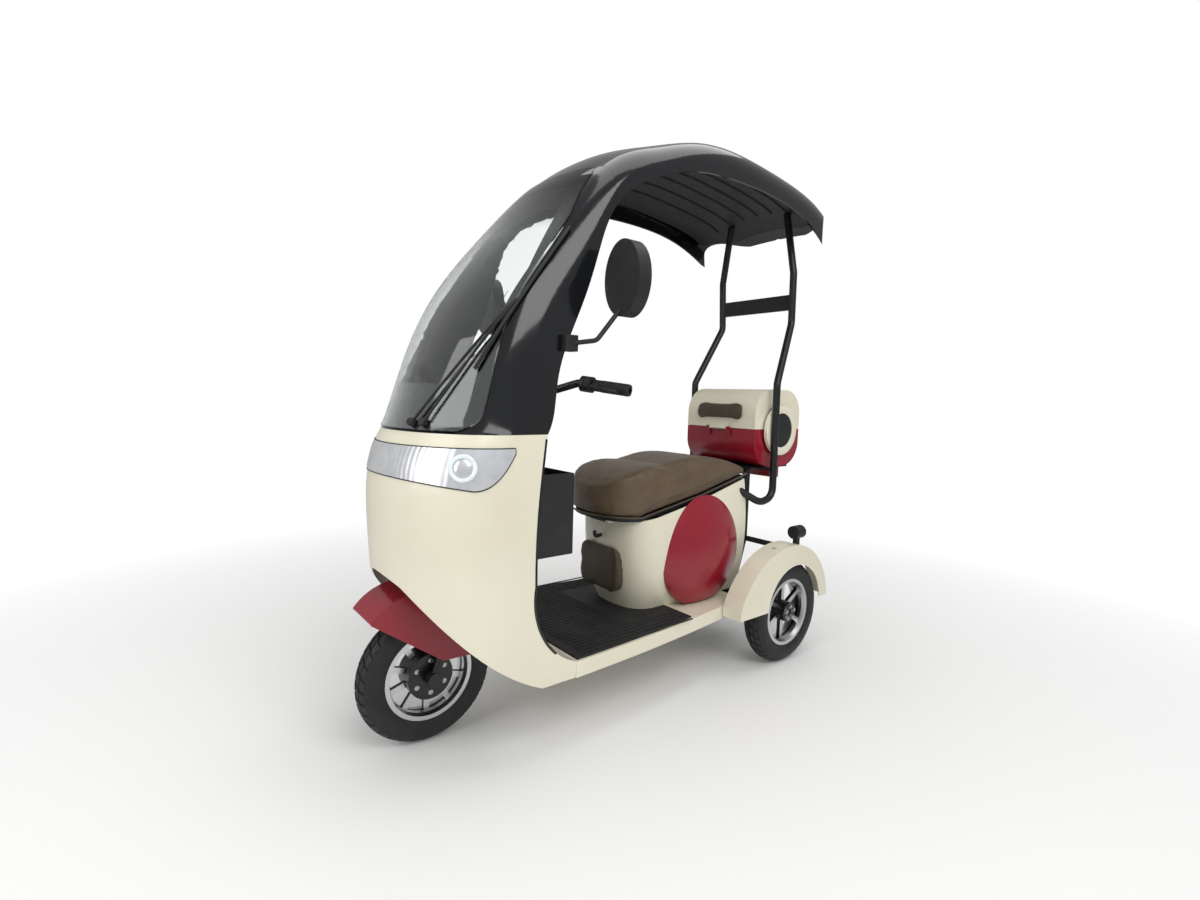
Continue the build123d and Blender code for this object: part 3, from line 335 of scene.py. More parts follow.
def make_finishes(settings):
    """All finishes, under the names of the record's material slots and of the scene's own."""
    canopy, trim = settings.canopy, settings.trim
    FINISHES.update(
        cream_paint=painted_abs("cream_lacquered_abs", settings.cream, "E4DEC7"),
        red_paint=painted_abs("red_lacquered_abs", settings.red, "8E1226"),
        frame_paint=powder_coat("powder_coated_steel", "121315", "1A1B1E"),
        battery_case=powder_coat("battery_case_abs", "222327", "292A2E"),
        seat_leather=vinyl("brown_seat_vinyl", settings.seat, "5B4B38"),
        pad_leather=vinyl("dark_pad_vinyl", settings.pad, "433929"),
        tail_red=coloured_lens("red_acrylic_lens", "8C0A12", "A0101A"),
        amber=coloured_lens("amber_acrylic_lens", "C86A10", "D87A18"),
        clear_lens=clear_lens(),
        screen_clear=screen_sheet(),
        reflector=bright_reflector(),
        # deep black with faint rub marks
        black_gloss=patterned(
            "gloss_black_abs", canopy, 0.12, (canopy, "101216"), 180, (0.08, 0.2, 60), (9, 0.03),
            Coat_Weight=0.3, IOR=1.5,
        ),
        # spark-eroded grain, drawn at 1.8 mm so that it shows
        black_trim=patterned(
            "textured_black_pp", trim, 0.55, (trim, "212224"), 40, (0.45, 0.62, 30), (1.8, 0.12), IOR=1.49
        ),
    )
    for slot, *pattern, sockets in PATTERNS:
        FINISHES[slot] = patterned(*pattern, **sockets)
    for wheel in WHEELS:
        FINISHES[f"rim_{wheel}"] = cast_wheel(wheel)


def dress(piece, material):
    """Gives a piece one finish all over."""
    piece.data.materials.clear()
    piece.data.materials.append(material)


class TRIKE_OT_finishes(bpy.types.Operator):
    """Gives each CAD solid the finish of its material slot"""

    bl_idname = "trike.finishes"
    bl_label = "Finishes"

    def execute(self, context):
        make_finishes(context.scene.trike_finish)
        for entry in frame["record"]["subparts"]:
            name, slot = entry["node"], entry["material_slot"]
            key = f"rim_{name.removesuffix('_rim')}" if slot == "rim_alloy" else slot
            dress(frame["nodes"][name], FINISHES[key])
        return {"FINISHED"}


# Meshes

SHARP_ANGLE = math.radians(35)
WELD = 0.01 * MM
CAD_WELD = 0.02 * MM


def linked(name, data):
    """A new object in the scene."""
    made = bpy.data.objects.new(name, data)
    bpy.context.scene.collection.objects.link(made)
    return made


def drop(holder):
    """Removes a helper object."""
    bpy.data.objects.remove(holder)


def new_piece(name, mesh, finish, body="chassis"):
    """A finished piece: one mesh at the origin, on its body, with its finish in its one slot."""
    piece = linked(name, mesh)
    dress(piece, FINISHES[finish])
    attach(piece, body)
    return piece


def shade(mesh):
    """Shades a mesh smooth, apart from its sharp edges."""
    mesh.shade_smooth()
    mesh.set_sharp_from_angle(angle=SHARP_ANGLE)
    return mesh


def mesh_from(name, build):
    """A mesh filled by a function that takes a bmesh, with its faces turned outwards."""
    mesh = bpy.data.meshes.new(name)
    shape = bmesh.new()
    build(shape)
    bmesh.ops.remove_doubles(shape, verts=shape.verts, dist=WELD)
    bmesh.ops.recalc_face_normals(shape, faces=shape.faces)
    shape.to_mesh(mesh)
    shape.free()
    return shade(mesh)


def built_piece(name, build, finish, body="chassis"):
    """A piece whose mesh is filled by a function that takes a bmesh."""
    return new_piece(name, mesh_from(name, build), finish, body)


def evaluated_mesh(holder):
    """The plain mesh of an object with its modifiers, which are then removed."""
    graph = bpy.context.evaluated_depsgraph_get()
    mesh = bpy.data.meshes.new_from_object(holder.evaluated_get(graph), depsgraph=graph)
    holder.modifiers.clear()
    return mesh


def welded(node):
    """A CAD node's mesh as a bmesh, with its doubled points joined."""
    shape = bmesh.new()
    shape.from_mesh(frame["nodes"][node].data)
    bmesh.ops.remove_doubles(shape, verts=shape.verts, dist=CAD_WELD)
    return shape


def points_of(mesh, what="co"):
    """A mesh's points, or their normals, as an array."""
    flat = np.zeros(len(mesh.vertices) * 3)
    mesh.vertices.foreach_get(what, flat)
    return flat.reshape(-1, 3)


def set_points(mesh, points):
    """Moves a mesh's points to those of an array."""
    mesh.vertices.foreach_set("co", points.astype(np.float32).ravel())
    mesh.update()


# Padded pieces

SMOOTHING = 0.5
SOFTEN_STEPS = 12
EASE_STEPS = 4
CLOTH_MASS = 0.4


def smooth(holder, steps):
    """Adds a modifier that evens out an object's points."""
    ease = holder.modifiers.new("ease", "SMOOTH")
    ease.factor = SMOOTHING
    ease.iterations = steps


def swollen_pad(name, node, settings, cap, shrink):
    """A pad's mesh: the solid remeshed evenly, drawn in a little, swollen by cloth pressure and eased."""
    shape = welded(node)
    holder = linked(f"{name}_form", bpy.data.meshes.new(f"{name}_form"))
    shape.to_mesh(holder.data)
    shape.free()
    remesh = holder.modifiers.new("even", "REMESH")
    remesh.mode = "VOXEL"
    remesh.voxel_size = settings.voxel
    smooth(holder, SOFTEN_STEPS)
    mesh = evaluated_mesh(holder)
    holder.data = mesh
    rest = points_of(mesh) - points_of(mesh, "normal") * shrink
    set_points(mesh, rest)
    cloth = holder.modifiers.new("swell", "CLOTH")
    cloth.settings.use_pressure = True
    cloth.settings.uniform_pressure_force = settings.pressure
    cloth.settings.effector_weights.gravity = 0
    cloth.settings.mass = CLOTH_MASS
    cloth.point_cache.frame_start = 1
    cloth.point_cache.frame_end = settings.frames
    scene = bpy.context.scene
    for step in range(1, settings.frames + 1):
        scene.frame_set(step)
    swollen = evaluated_mesh(holder)
    scene.frame_set(1)
    move = points_of(swollen) - rest
    length = np.linalg.norm(move, axis=1, keepdims=True)
    set_points(mesh, rest + move * np.minimum(1.0, cap / np.maximum(length, 1e-9)))
    smooth(holder, EASE_STEPS)
    finished = evaluated_mesh(holder)
    finished.name = name
    drop(holder)
    finished.shade_smooth()
    return finished


class TRIKE_OT_pads(bpy.types.Operator):
    """Makes the seat cushion, the calf pad and the backrest pad of the tail box"""

    bl_idname = "trike.pads"
    bl_label = "Padded pieces"

    def execute(self, context):
        settings = context.scene.trike_soft
        # name, node, body, slot, most that it swells, how far it is drawn in first
        table = (
            ("seat_cover", "seat_cushion", "seat", "seat_leather", settings.seat_cap, 4 * MM),
            ("calf_pad_cover", "calf_pad", "chassis", "pad_leather", settings.pad_cap, 3 * MM),
            ("backrest_cover", "tail_box_pad", "tail_lid", "pad_leather", settings.pad_cap, 2 * MM),
        )
        for name, node, body, slot, cap, shrink in table:
            piece = new_piece(name, swollen_pad(name, node, settings, cap, shrink), slot, body)
            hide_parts(node)
        return {"FINISHED"}


# Copies by geometry nodes


def start_tree(name, inputs):
    """A geometry node group with named inputs, a finish and one output; returns it and its inputs' sockets."""
    tree = bpy.data.node_groups.new(name, "GeometryNodeTree")
    for label, kind in {**inputs, "Material": "Material"}.items():
        tree.interface.new_socket(label, in_out="INPUT", socket_type=f"NodeSocket{kind}")
    tree.interface.new_socket("Geometry", in_out="OUTPUT", socket_type="NodeSocketGeometry")
    return tree, put(tree, "NodeGroupInput").outputs


def end_tree(tree, given, placed):
    """Ends a group with its copies on points, made real and given their finish."""
    copies = put(tree, "GeometryNodeInstanceOnPoints", placed)
    real = put(tree, "GeometryNodeRealizeInstances", {0: copies.outputs[0]})
    painted = put(tree, "GeometryNodeSetMaterial", {0: real.outputs[0], "Material": given["Material"]})
    put(tree, "NodeGroupOutput", {0: painted.outputs[0]})
    return tree


def array_tree():
    """Copies of a shape, each a step and a turn beyond the one before it."""
    inputs = {"Shape": "Geometry", "Count": "Int", **dict.fromkeys(("Start", "Step", "Turn"), "Vector")}
    tree, given = start_tree("stepped_copies", inputs)
    line = {"Count": given["Count"], "Start Location": given["Start"], "Offset": given["Step"]}
    points = put(tree, "GeometryNodeMeshLine", line, mode="OFFSET").outputs[0]
    turn = {0: given["Turn"], "Scale": put(tree, "GeometryNodeInputIndex").outputs[0]}
    angles = put(tree, "ShaderNodeVectorMath", turn, operation="SCALE").outputs[0]
    turned = put(tree, "FunctionNodeEulerToRotation", {0: angles}).outputs[0]
    return end_tree(tree, given, {"Points": points, "Instance": given["Shape"], "Rotation": turned})


def facing_tree():
    """Copies of a shape on a mesh's points, each with its Z along the point's own direction."""
    tree, given = start_tree("set_on_points", {"Points": "Geometry", "Shape": "Object"})
    facing = put(tree, "GeometryNodeInputNamedAttribute", {"Name": "facing"}, data_type="FLOAT_VECTOR")
    aim = {"Vector": facing.outputs["Attribute"]}
    turned = put(tree, "FunctionNodeAlignRotationToVector", aim, axis="Z").outputs[0]
    shape = put(tree, "GeometryNodeObjectInfo", {"Object": given["Shape"]}).outputs["Geometry"]
    return end_tree(tree, given, {"Points": given["Points"], "Instance": shape, "Rotation": turned})


def copied_piece(name, seed, tree, values, finish, body="chassis"):
    """A piece that a node group makes from a mesh, the group's inputs set by their identifiers."""
    holder = linked(f"{name}_seed", seed)
    modifier = holder.modifiers.new("nodes", "NODES")
    modifier.node_group = tree
    sockets = {s.name: s.identifier for s in tree.interface.items_tree if s.in_out == "INPUT"}
    for label, value in {**values, "Material": FINISHES[finish]}.items():
        modifier[sockets[label]] = value
    mesh = evaluated_mesh(holder)
    mesh.name = name
    drop(holder)
    return new_piece(name, shade(mesh), finish, body)


# Tyres: points of the section as distance from its middle and radius

TYRE_SHOULDER = (30 * MM, 172 * MM)
TYRE_WALL = (38 * MM, 148 * MM)
TYRE_BEAD = (32 * MM, 121 * MM)
TYRE_CROWN = 185 * MM
TYRE_STEPS = 96
WALL_STEPS = 10
CROWN_STEPS = 6
# tread blocks: from and to across the crown in mm, then start, end and lean round it as shares of a pitch
TREAD_BLOCKS = (
    (2.5, 14.0, 0.06, 0.86, 0.28),
    (16.5, 29.0, 0.5, 1.2, 0.22),
)
TREAD_SHIFT = {1: 0.0, -1: 0.5}
BLOCK_STEPS = 3
BLOCK_ROOT = 1 * MM
BLOCK_FLARE = 0.6 * MM


def crown_radius(across):
    """Radius of the tyre's crown at a distance from its middle: one arc from shoulder to shoulder."""
    reach, fall = TYRE_SHOULDER[0], TYRE_CROWN - TYRE_SHOULDER[1]
    bend = (reach**2 + fall**2) / (2 * fall)
    return TYRE_CROWN - bend + math.sqrt(bend**2 - across**2)


def arc_points(first, middle, last, count):
    """Points along the arc through three points of a plane, as complex numbers."""
    a, b, c = (complex(*p) for p in (first, middle, last))
    w = (c - a) / (b - a)
    centre = (b - a) * (w - abs(w) ** 2) / (2j * w.imag) + a
    start, sweep_b, sweep_c = a - centre, (b - centre) / (a - centre), (c - centre) / (a - centre)
    angle_b, angle_c = math.atan2(sweep_b.imag, sweep_b.real), math.atan2(sweep_c.imag, sweep_c.real)
    if angle_b * angle_c < 0:
        angle_c += math.copysign(2 * math.pi, angle_b)
    turns = (angle_c * i / count for i in range(count + 1))
    return [start * complex(math.cos(t), math.sin(t)) + centre for t in turns]


def spun(shape, places, centre, axis, steps, closed=False):
    """Turns a line of points about an axis."""
    ring = [shape.verts.new(place) for place in places]
    edges = [shape.edges.new(pair) for pair in zip(ring, ring[1:])]
    if closed:
        edges.append(shape.edges.new((ring[-1], ring[0])))
    full = 2 * math.pi
    bmesh.ops.spin(shape, geom=ring + edges, cent=centre, axis=axis, angle=full, steps=steps, use_merge=True)


def carcass(shape, centre, depth):
    """The tyre without its tread, its crown lowered by the groove depth."""
    half = [(p.real, p.imag) for p in arc_points(TYRE_BEAD, TYRE_WALL, TYRE_SHOULDER, WALL_STEPS)]
    crown = [TYRE_SHOULDER[0] * (1 - i / CROWN_STEPS) for i in range(CROWN_STEPS + 1)]
    half += [(y, crown_radius(y) - depth) for y in crown]
    outline = half + [(-y, r) for y, r in reversed(half[:-1])]
    places = [(centre.x, centre.y + y, centre.z + r) for y, r in outline]
    spun(shape, places, centre, (0, 1, 0), TYRE_STEPS, closed=True)


def sheet(shape, outer, inner, back=True):
    """A sheet between two grids of points, closed at its rim and, unless back is false, at its inner side."""
    wide, tall = outer.shape[:2]
    skins = [[[shape.verts.new(p) for p in column] for column in grid] for grid in (outer, inner)]
    for skin in skins if back else skins[:1]:
        for i in range(wide - 1):
            for j in range(tall - 1):
                shape.faces.new((skin[i][j], skin[i + 1][j], skin[i + 1][j + 1], skin[i][j + 1]))
    rim = [(i, 0) for i in range(wide)] + [(wide - 1, j) for j in range(1, tall)]
    rim += [(i, tall - 1) for i in range(wide - 2, -1, -1)] + [(0, j) for j in range(tall - 2, 0, -1)]
    for (a, b), (c, d) in zip(rim, rim[1:] + rim[:1]):
        shape.faces.new((skins[0][a][b], skins[0][c][d], skins[1][c][d], skins[1][a][b]))


def block_grid(block, side, pitch, sink, flare):
    """Points over a tread block about the wheel's own middle, sunk below the crown and flared at its edges."""
    inner, outer, start, end, lean = block
    edge = {0: -flare, BLOCK_STEPS: flare}
    rows = []
    for i in range(BLOCK_STEPS + 1):
        across = (inner + (outer - inner) * i / BLOCK_STEPS) * MM + edge.get(i, 0)
        radius = crown_radius(min(across, TYRE_SHOULDER[0])) - sink
        row = []
        for j in range(BLOCK_STEPS + 1):
            share = start + (end - start) * j / BLOCK_STEPS + lean * i / BLOCK_STEPS + TREAD_SHIFT[side]
            angle = share * pitch + edge.get(j, 0) / TYRE_CROWN
            row.append((radius * math.sin(angle), side * across, radius * math.cos(angle)))
        rows.append(row)
    return np.array(rows)


def tread_pitch(shape, pitch, depth):
    """One pitch of the tread: leaning blocks on both sides of the middle groove."""
    for side, _ in SIDES:
        for block in TREAD_BLOCKS:
            top = block_grid(block, side, pitch, 0.0, 0.0)
            root = block_grid(block, side, pitch, depth + BLOCK_ROOT, BLOCK_FLARE)
            sheet(shape, top, root, back=False)


class TRIKE_OT_tyres(bpy.types.Operator):
    """Makes each tyre as a carcass with a ring of tread blocks"""

    bl_idname = "trike.tyres"
    bl_label = "Tyres"

    def execute(self, context):
        settings = context.scene.trike_tyre
        pitch = 2 * math.pi / settings.pitches
        tree = array_tree()
        for wheel in WHEELS:
            centre, body = wheel_centre(wheel), f"{wheel}_wheel"
            tyre = built_piece(
                f"{wheel}_tyre_body", lambda shape: carcass(shape, centre, settings.depth), "tyre", body
            )
            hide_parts(f"{wheel}_tyre")
            segment = mesh_from(f"{wheel}_pitch", lambda shape: tread_pitch(shape, pitch, settings.depth))
            values = {"Count": settings.pitches, "Start": centre, "Turn": (0, pitch, 0)}
            copied_piece(f"{wheel}_tyre_tread", segment, tree, values, "tyre", body)
        return {"FINISHED"}


# Trim


def lathe(shape, centre, axis, profile, steps=40):
    """Turns a profile of (radius, distance along) pairs in millimetres about an axis."""
    along = Vector(axis).normalized() * MM
    side = along.orthogonal().normalized() * MM
    places = [Vector(centre) + side * radius + along * reach for radius, reach in profile]
    spun(shape, places, centre, along, steps)


def turned_piece(name, turning, finish, slot=None):
    """A piece of the chassis from what lathe() takes after the bmesh."""
    return built_piece(name, lambda shape: lathe(shape, *turning), finish)


def slab(shape, origin, low, high, edge):
    """A block with rounded edges between two corners, in millimetres from a place."""
    low, high = Vector(low) * MM, Vector(high) * MM
    place = Matrix.Translation(Vector(origin) + (low + high) / 2) @ Matrix.Diagonal((*(high - low), 1))
    bmesh.ops.create_cube(shape, size=1, matrix=place)
    bmesh.ops.bevel(shape, geom=shape.edges[:], offset=edge * MM, segments=3, profile=0.5, affect="EDGES")


def slab_piece(name, origin, block, finish):
    """A piece of the chassis from a slab's corners and edge."""
    return built_piece(name, lambda shape: slab(shape, origin, *block), finish)


def line_piece(name, lines, radius, finish, body="chassis", closed=False):
    """A piece of round lines through lists of points."""
    curve = bpy.data.curves.new(name, "CURVE")
    curve.dimensions = "3D"
    curve.bevel_depth = radius
    curve.bevel_resolution = 3
    for line in lines:
        run = curve.splines.new("POLY")
        run.points.add(len(line) - 1)
        for spot, place in zip(run.points, line):
            spot.co = (*place, 1)
        run.use_cyclic_u = closed
    curve.use_fill_caps = not closed
    holder = linked(name, curve)
    mesh = evaluated_mesh(holder)
    drop(holder)
    mesh.name = name
    mesh.shade_smooth()
    return new_piece(name, mesh, finish, body)


def on_surface(nodes, start, direction):
    """Where a ray first meets one of some CAD solids, and the surface's normal there."""
    start, direction = Vector(start), Vector(direction).normalized()
    casts = [frame["nodes"][node].ray_cast(start, direction) for node in nodes]
    hits = [(place, normal) for hit, place, normal, _ in casts if hit]
    if not hits:
        raise ValueError(f"no {nodes} on the ray from {tuple(start)}")
    return min(hits, key=lambda found: (found[0] - start).length)


# a face of the seat's underside looks down at least this much
UNDERSIDE = -0.7


def under_edge(node):
    """The points round a solid's underside, in order."""
    shape = welded(node)
    under = {face for face in shape.faces if face.normal.z < UNDERSIDE}
    rim = {edge for edge in shape.edges if sum(face in under for face in edge.link_faces) == 1}
    spot = max((v for edge in rim for v in edge.verts), key=lambda v: tuple(v.co))
    loop = []
    while True:
        loop.append(spot.co.copy())
        ways = [edge for edge in spot.link_edges if edge in rim]
        if not ways:
            break
        rim.discard(ways[0])
        spot = ways[0].other_vert(spot)
    shape.free()
    return loop[:-1]


class TRIKE_OT_seat_welt(bpy.types.Operator):
    """Sews a welt round the seat cushion's lower edge"""

    bl_idname = "trike.seat_welt"
    bl_label = "Seat welt"

    def execute(self, context):
        radius = context.scene.trike_soft.welt
        points = [place + Vector((0, 0, radius)) for place in under_edge("seat_cushion")]
        line_piece("seat_welt", [points], radius, "pad_leather", "seat", closed=True)
        return {"FINISHED"}


# grip's inner and outer end on the left, and its rings
GRIP_ENDS = ((FRONT - 375 * MM, 158 * MM, 978 * MM), (FRONT - 441 * MM, 300 * MM, 960 * MM))
GRIP_RINGS = 13
GRIP_STEP = 6.2 * MM
GRIP_RING = ((15.6, -1.6), (16.9, -0.9), (16.9, 0.9), (15.6, 1.6), (15.6, -1.6))


class TRIKE_OT_grip_rings(bpy.types.Operator):
    """Rings the grips"""

    bl_idname = "trike.grip_rings"
    bl_label = "Grip rings"

    def execute(self, context):
        tree = array_tree()
        for side, name in SIDES:
            inner, outer = (Vector((x, side * y, z)) for x, y, z in GRIP_ENDS)
            axis = (inner - outer).normalized()
            step = axis * GRIP_STEP
            ring = mesh_from("grip_ring", lambda shape: lathe(shape, outer + step, axis, GRIP_RING, 32))
            values = {"Count": GRIP_RINGS, "Step": step}
            copied_piece(f"grip_rings_{name}", ring, tree, values, "grip_rubber", "steering")
        return {"FINISHED"}


# outlines as radius and height in mm, an indicator's place across and up, a reflector's ray
LENS_DISC = ((0, 3.5), (10, 3.1), (18, 2.0), (22, 0), (0, 0))
REFLECTOR_DISC = ((0, 2.2), (19, 2.0), (21, 0), (0, 0))
INDICATOR_PLACE = (262 * MM, 462 * MM)
REFLECTOR_RAY = (REAR - 0.5, 285 * MM, 320 * MM)


class TRIKE_OT_rear_lenses(bpy.types.Operator):
    """Makes the indicator lenses and the rear reflectors"""

    bl_idname = "trike.rear_lenses"
    bl_label = "Rear lenses"

    def execute(self, context):
        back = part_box("rear_indicators")[0].x
        across, up = INDICATOR_PLACE
        x, y, z = REFLECTOR_RAY
        for side, name in SIDES:
            spot = Vector((back, side * across, up))
            turned_piece(f"indicator_lens_{name}", (spot, (-1, 0, 0), LENS_DISC), "amber", "tail_red")
            place, normal = on_surface((f"rear_fender_{name}",), (x, side * y, z), (1, 0, 0))
            turned_piece(f"reflector_{name}", (place - normal * MM, normal, REFLECTOR_DISC), "tail_red")
        return {"FINISHED"}


# Headlamp: one band round the nose that tapers to a tip on each side
LAMP_MIDDLE = FRONT - 60 * MM
LAMP_TOP = 814 * MM
LAMP_TIP = FRONT - 112 * MM
LAMP_HEEL = FRONT - 5 * MM
LAMP_HEEL_LOW = 716 * MM
LAMP_FRONT_LOW = 741 * MM
LAMP_NOSE = FRONT + 134 * MM
LAMP_COLUMNS = 121
LAMP_ROWS = 9
LAMP_TURN = math.radians(99)
LAMP_RAY = 0.6
# the lower edge follows the nose's shape this far below the top
LAMP_PROBE = 12 * MM
# columns on each side that even out a column's seams
LAMP_EVEN = 2
# how far the band's two sides and the black line of painted shade round its border stand off the nose
LAMP_FACE = 1.8 * MM
LAMP_BACK = 0.3 * MM
SHADOW_LINE_LIFT = 1.2 * MM
SHADOW_LINE_RADIUS = 1.5 * MM
PROJECTOR_TURN = math.radians(73)
PROJECTOR_HEIGHT = 769 * MM
PROJECTOR_STEPS = 56
LAMP_RING = ((23, 0.5), (23, 3.0), (27, 4.4), (31, 3.6), (33.5, 0.5), (23, 0.5))
LAMP_DOME = ((0, 4.2), (9, 3.8), (16, 2.4), (22, 0.2), (0, 0.2))


def lamp_low(x):
    """Height of the headlamp's lower edge at a distance along the object."""
    if x >= LAMP_HEEL:
        share = (x - LAMP_HEEL) / (LAMP_NOSE - LAMP_HEEL)
        return LAMP_HEEL_LOW + (LAMP_FRONT_LOW - LAMP_HEEL_LOW) * share
    share = max(0.0, (x - LAMP_TIP) / (LAMP_HEEL - LAMP_TIP))
    return LAMP_TOP - (LAMP_TOP - LAMP_HEEL_LOW) * (1 - (1 - share) ** 2)


def nose_point(turn, height):
    """Where a level ray towards the nose's middle meets the leg shield or the lamp in it."""
    out = Vector((math.cos(turn), math.sin(turn), 0))
    start = Vector((LAMP_MIDDLE, 0, height)) + out * LAMP_RAY
    return on_surface(("front_shell", "headlamp_lens", "headlamp_housing"), start, -out)


def nose_reach(grid):
    """A grid's level offsets from the nose's middle, and their lengths."""
    flat = grid[:, :, :2] - (LAMP_MIDDLE, 0)
    return flat, np.linalg.norm(flat, axis=2)[:, :, None]


def lamp_grid():
    """Columns of points on the nose between the headlamp's lower and upper edge."""
    columns = []
    for i in range(LAMP_COLUMNS):
        turn = LAMP_TURN * (2 * i / (LAMP_COLUMNS - 1) - 1)
        low = lamp_low(nose_point(turn, LAMP_TOP - LAMP_PROBE)[0].x)
        heights = [low + (LAMP_TOP - low) * j / (LAMP_ROWS - 1) for j in range(LAMP_ROWS)]
        columns.append([nose_point(turn, height)[0] for height in heights])
    grid = np.array(columns)
    flat, reach = nose_reach(grid)
    wider = np.pad(reach, ((LAMP_EVEN, LAMP_EVEN), (0, 0), (0, 0)), mode="edge")
    even = np.median([wider[k : k + LAMP_COLUMNS] for k in range(2 * LAMP_EVEN + 1)], axis=0)
    grid[:, :, :2] = flat / reach * even + (LAMP_MIDDLE, 0)
    return grid


def lifted(grid, lift):
    """A grid of nose points moved outwards from the nose's middle."""
    flat, reach = nose_reach(grid)
    raised = grid.copy()
    raised[:, :, :2] += flat / reach * lift
    return raised


class TRIKE_OT_headlamp(bpy.types.Operator):
    """Makes the headlamp's band with a black line round its border, painted shade where the band meets the nose,
    and a ring and a dome at each corner
    """

    bl_idname = "trike.headlamp"
    bl_label = "Headlamp"

    def execute(self, context):
        grid = lamp_grid()
        face, back = lifted(grid, LAMP_FACE), lifted(grid, LAMP_BACK)
        built_piece("headlamp_band", lambda shape: sheet(shape, face, back), "reflector")
        # a black line along the band's border: painted shade in the gap between the band and the nose
        edge = lifted(grid, SHADOW_LINE_LIFT)
        border = list(edge[:, 0]) + list(edge[::-1, -1])
        line_piece("headlamp_seal", [border], SHADOW_LINE_RADIUS, "black_trim", closed=True)
        parts = (("ring", LAMP_RING, "diffuser", "clear_lens"), ("dome", LAMP_DOME, "reflector", "reflector"))
        for side, name in SIDES:
            place, normal = nose_point(side * PROJECTOR_TURN, PROJECTOR_HEIGHT)
            seat = place + normal * MM
            for part, outline, *look in parts:
                turned_piece(f"lamp_{part}_{name}", (seat, normal, outline, PROJECTOR_STEPS), *look)
        return {"FINISHED"}


# Wiper: two arms and a blade over the screen, as x from the front axle, to the left and height in mm
WIPER_OUT = Vector((0.5, 0.8, 0.3)).normalized()
WIPER_LINES = (
    ((78, 105, 868), (-115, 256, 1171), 3.5),
    ((62, 136, 868), (-115, 256, 1171), 3.5),
    ((-27, 219, 996), (-256, 266, 1361), 5.0),
)
WIPER_ARMS = 2
WIPER_STEPS = 16
WIPER_LIFT = 10 * MM
WIPER_RAY = 0.3
WIPER_PIVOT = ((0, 14), (8, 13), (10, 10), (10, -2), (0, -2))


def screen_point(start, end, share):
    """A point over the screen on the way between two places."""
    x, y, z = (a + (b - a) * share for a, b in zip(start, end))
    beside = Vector((FRONT + x * MM, y * MM, z * MM))
    return on_surface(("windscreen", "windscreen_surround"), beside + WIPER_OUT * WIPER_RAY, -WIPER_OUT)


class TRIKE_OT_wiper(bpy.types.Operator):
    """Makes the wiper's arms, blade and pivots"""

    bl_idname = "trike.wiper"
    bl_label = "Wiper"

    def execute(self, context):
        lift = WIPER_OUT * WIPER_LIFT
        for index, (start, end, radius) in enumerate(WIPER_LINES):
            shares = (i / WIPER_STEPS for i in range(WIPER_STEPS + 1))
            spots = [screen_point(start, end, share)[0] + lift for share in shares]
            line_piece(f"wiper_bar_{index}", [spots], radius * MM, "black_trim")
        for index, (start, end, _) in enumerate(WIPER_LINES[:WIPER_ARMS]):
            turned_piece(f"wiper_pivot_{index}", (*screen_point(start, end, 0), WIPER_PIVOT), "black_trim")
        return {"FINISHED"}


# Leg shield's rear edge seen from the side: two arcs, x from the front axle and height in mm
EDGE_ARCS = (((-198, 849), (-173, 660), (-164, 470)), ((-164, 470), (-196, 318), (-295, 246)))
EDGE_STEPS = 24
EDGE_LOW = 285
EDGE_HIGH = 843
EDGE_RAY = 0.5
EDGE_RADIUS = 4 * MM
EDGE_INSET = 4 * MM


class TRIKE_OT_edging(bpy.types.Operator):
    """Runs a black edging down the leg shield's rear edges"""

    bl_idname = "trike.edging"
    bl_label = "Leg shield edging"

    def execute(self, context):
        upper, lower = (arc_points(*arc, EDGE_STEPS) for arc in EDGE_ARCS)
        line = [p for p in upper + lower[1:] if EDGE_LOW < p.imag < EDGE_HIGH]
        for side, name in SIDES:
            sunk = Vector((EDGE_INSET / 2, side * EDGE_RADIUS / 2, 0))
            spots = []
            for p in line:
                start = (FRONT + p.real * MM + EDGE_INSET, side * EDGE_RAY, p.imag * MM)
                spots.append(on_surface(("front_shell",), start, (0, -side, 0))[0] - sunk)
            line_piece(f"shell_edging_{name}", [spots], EDGE_RADIUS, "black_gloss")
        return {"FINISHED"}


# ribs under the roof: their places across in mm, where they run from and to, the height their rays start at
LINER_RIBS = (-195, -130, -65, 0, 65, 130, 195)
LINER_FROM = -690 * MM
LINER_TO = 150 * MM
LINER_RAY = 1.2
LINER_STEPS = 28
LINER_RADIUS = 6 * MM


class TRIKE_OT_liner_ribs(bpy.types.Operator):
    """Runs moulded ribs along the underside of the roof liner"""

    bl_idname = "trike.liner_ribs"
    bl_label = "Roof liner ribs"

    def execute(self, context):
        along = [LINER_FROM + (LINER_TO - LINER_FROM) * i / LINER_STEPS for i in range(LINER_STEPS + 1)]
        lines = [
            [on_surface(("roof_liner",), (x, y * MM, LINER_RAY), (0, 0, 1))[0] for x in along]
            for y in LINER_RIBS
        ]
        line_piece("liner_ribs", lines, LINER_RADIUS, "black_trim")
        return {"FINISHED"}


# mirror's outline as radius and height in mm, its width as a share of its height, its place across and up
MIRROR_GLASS = ((0, 1.5), (85, 1.5), (86, 0.5), (86, -1), (0, -1))
MIRROR_NARROW = 0.68
MIRROR_PLACE = (356 * MM, 1236 * MM)


def mirror_disc(shape, centre):
    """An upright oval of mirror glass that faces backwards."""
    lathe(shape, centre, (-1, 0, 0), MIRROR_GLASS, 64)
    here = Matrix.Translation(-centre)
    bmesh.ops.scale(shape, vec=(1, MIRROR_NARROW, 1), space=here, verts=shape.verts)


class TRIKE_OT_mirror_glasses(bpy.types.Operator):
    """Sets the glass into the mirrors"""

    bl_idname = "trike.mirror_glasses"
    bl_label = "Mirror glasses"

    def execute(self, context):
        across, up = MIRROR_PLACE
        for side, name in SIDES:
            centre = Vector((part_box(f"mirror_{name}")[0].x, side * across, up))
            glass = f"mirror_glass_{name}"
            built_piece(glass, lambda shape: mirror_disc(shape, centre), "mirror_glass")
        return {"FINISHED"}


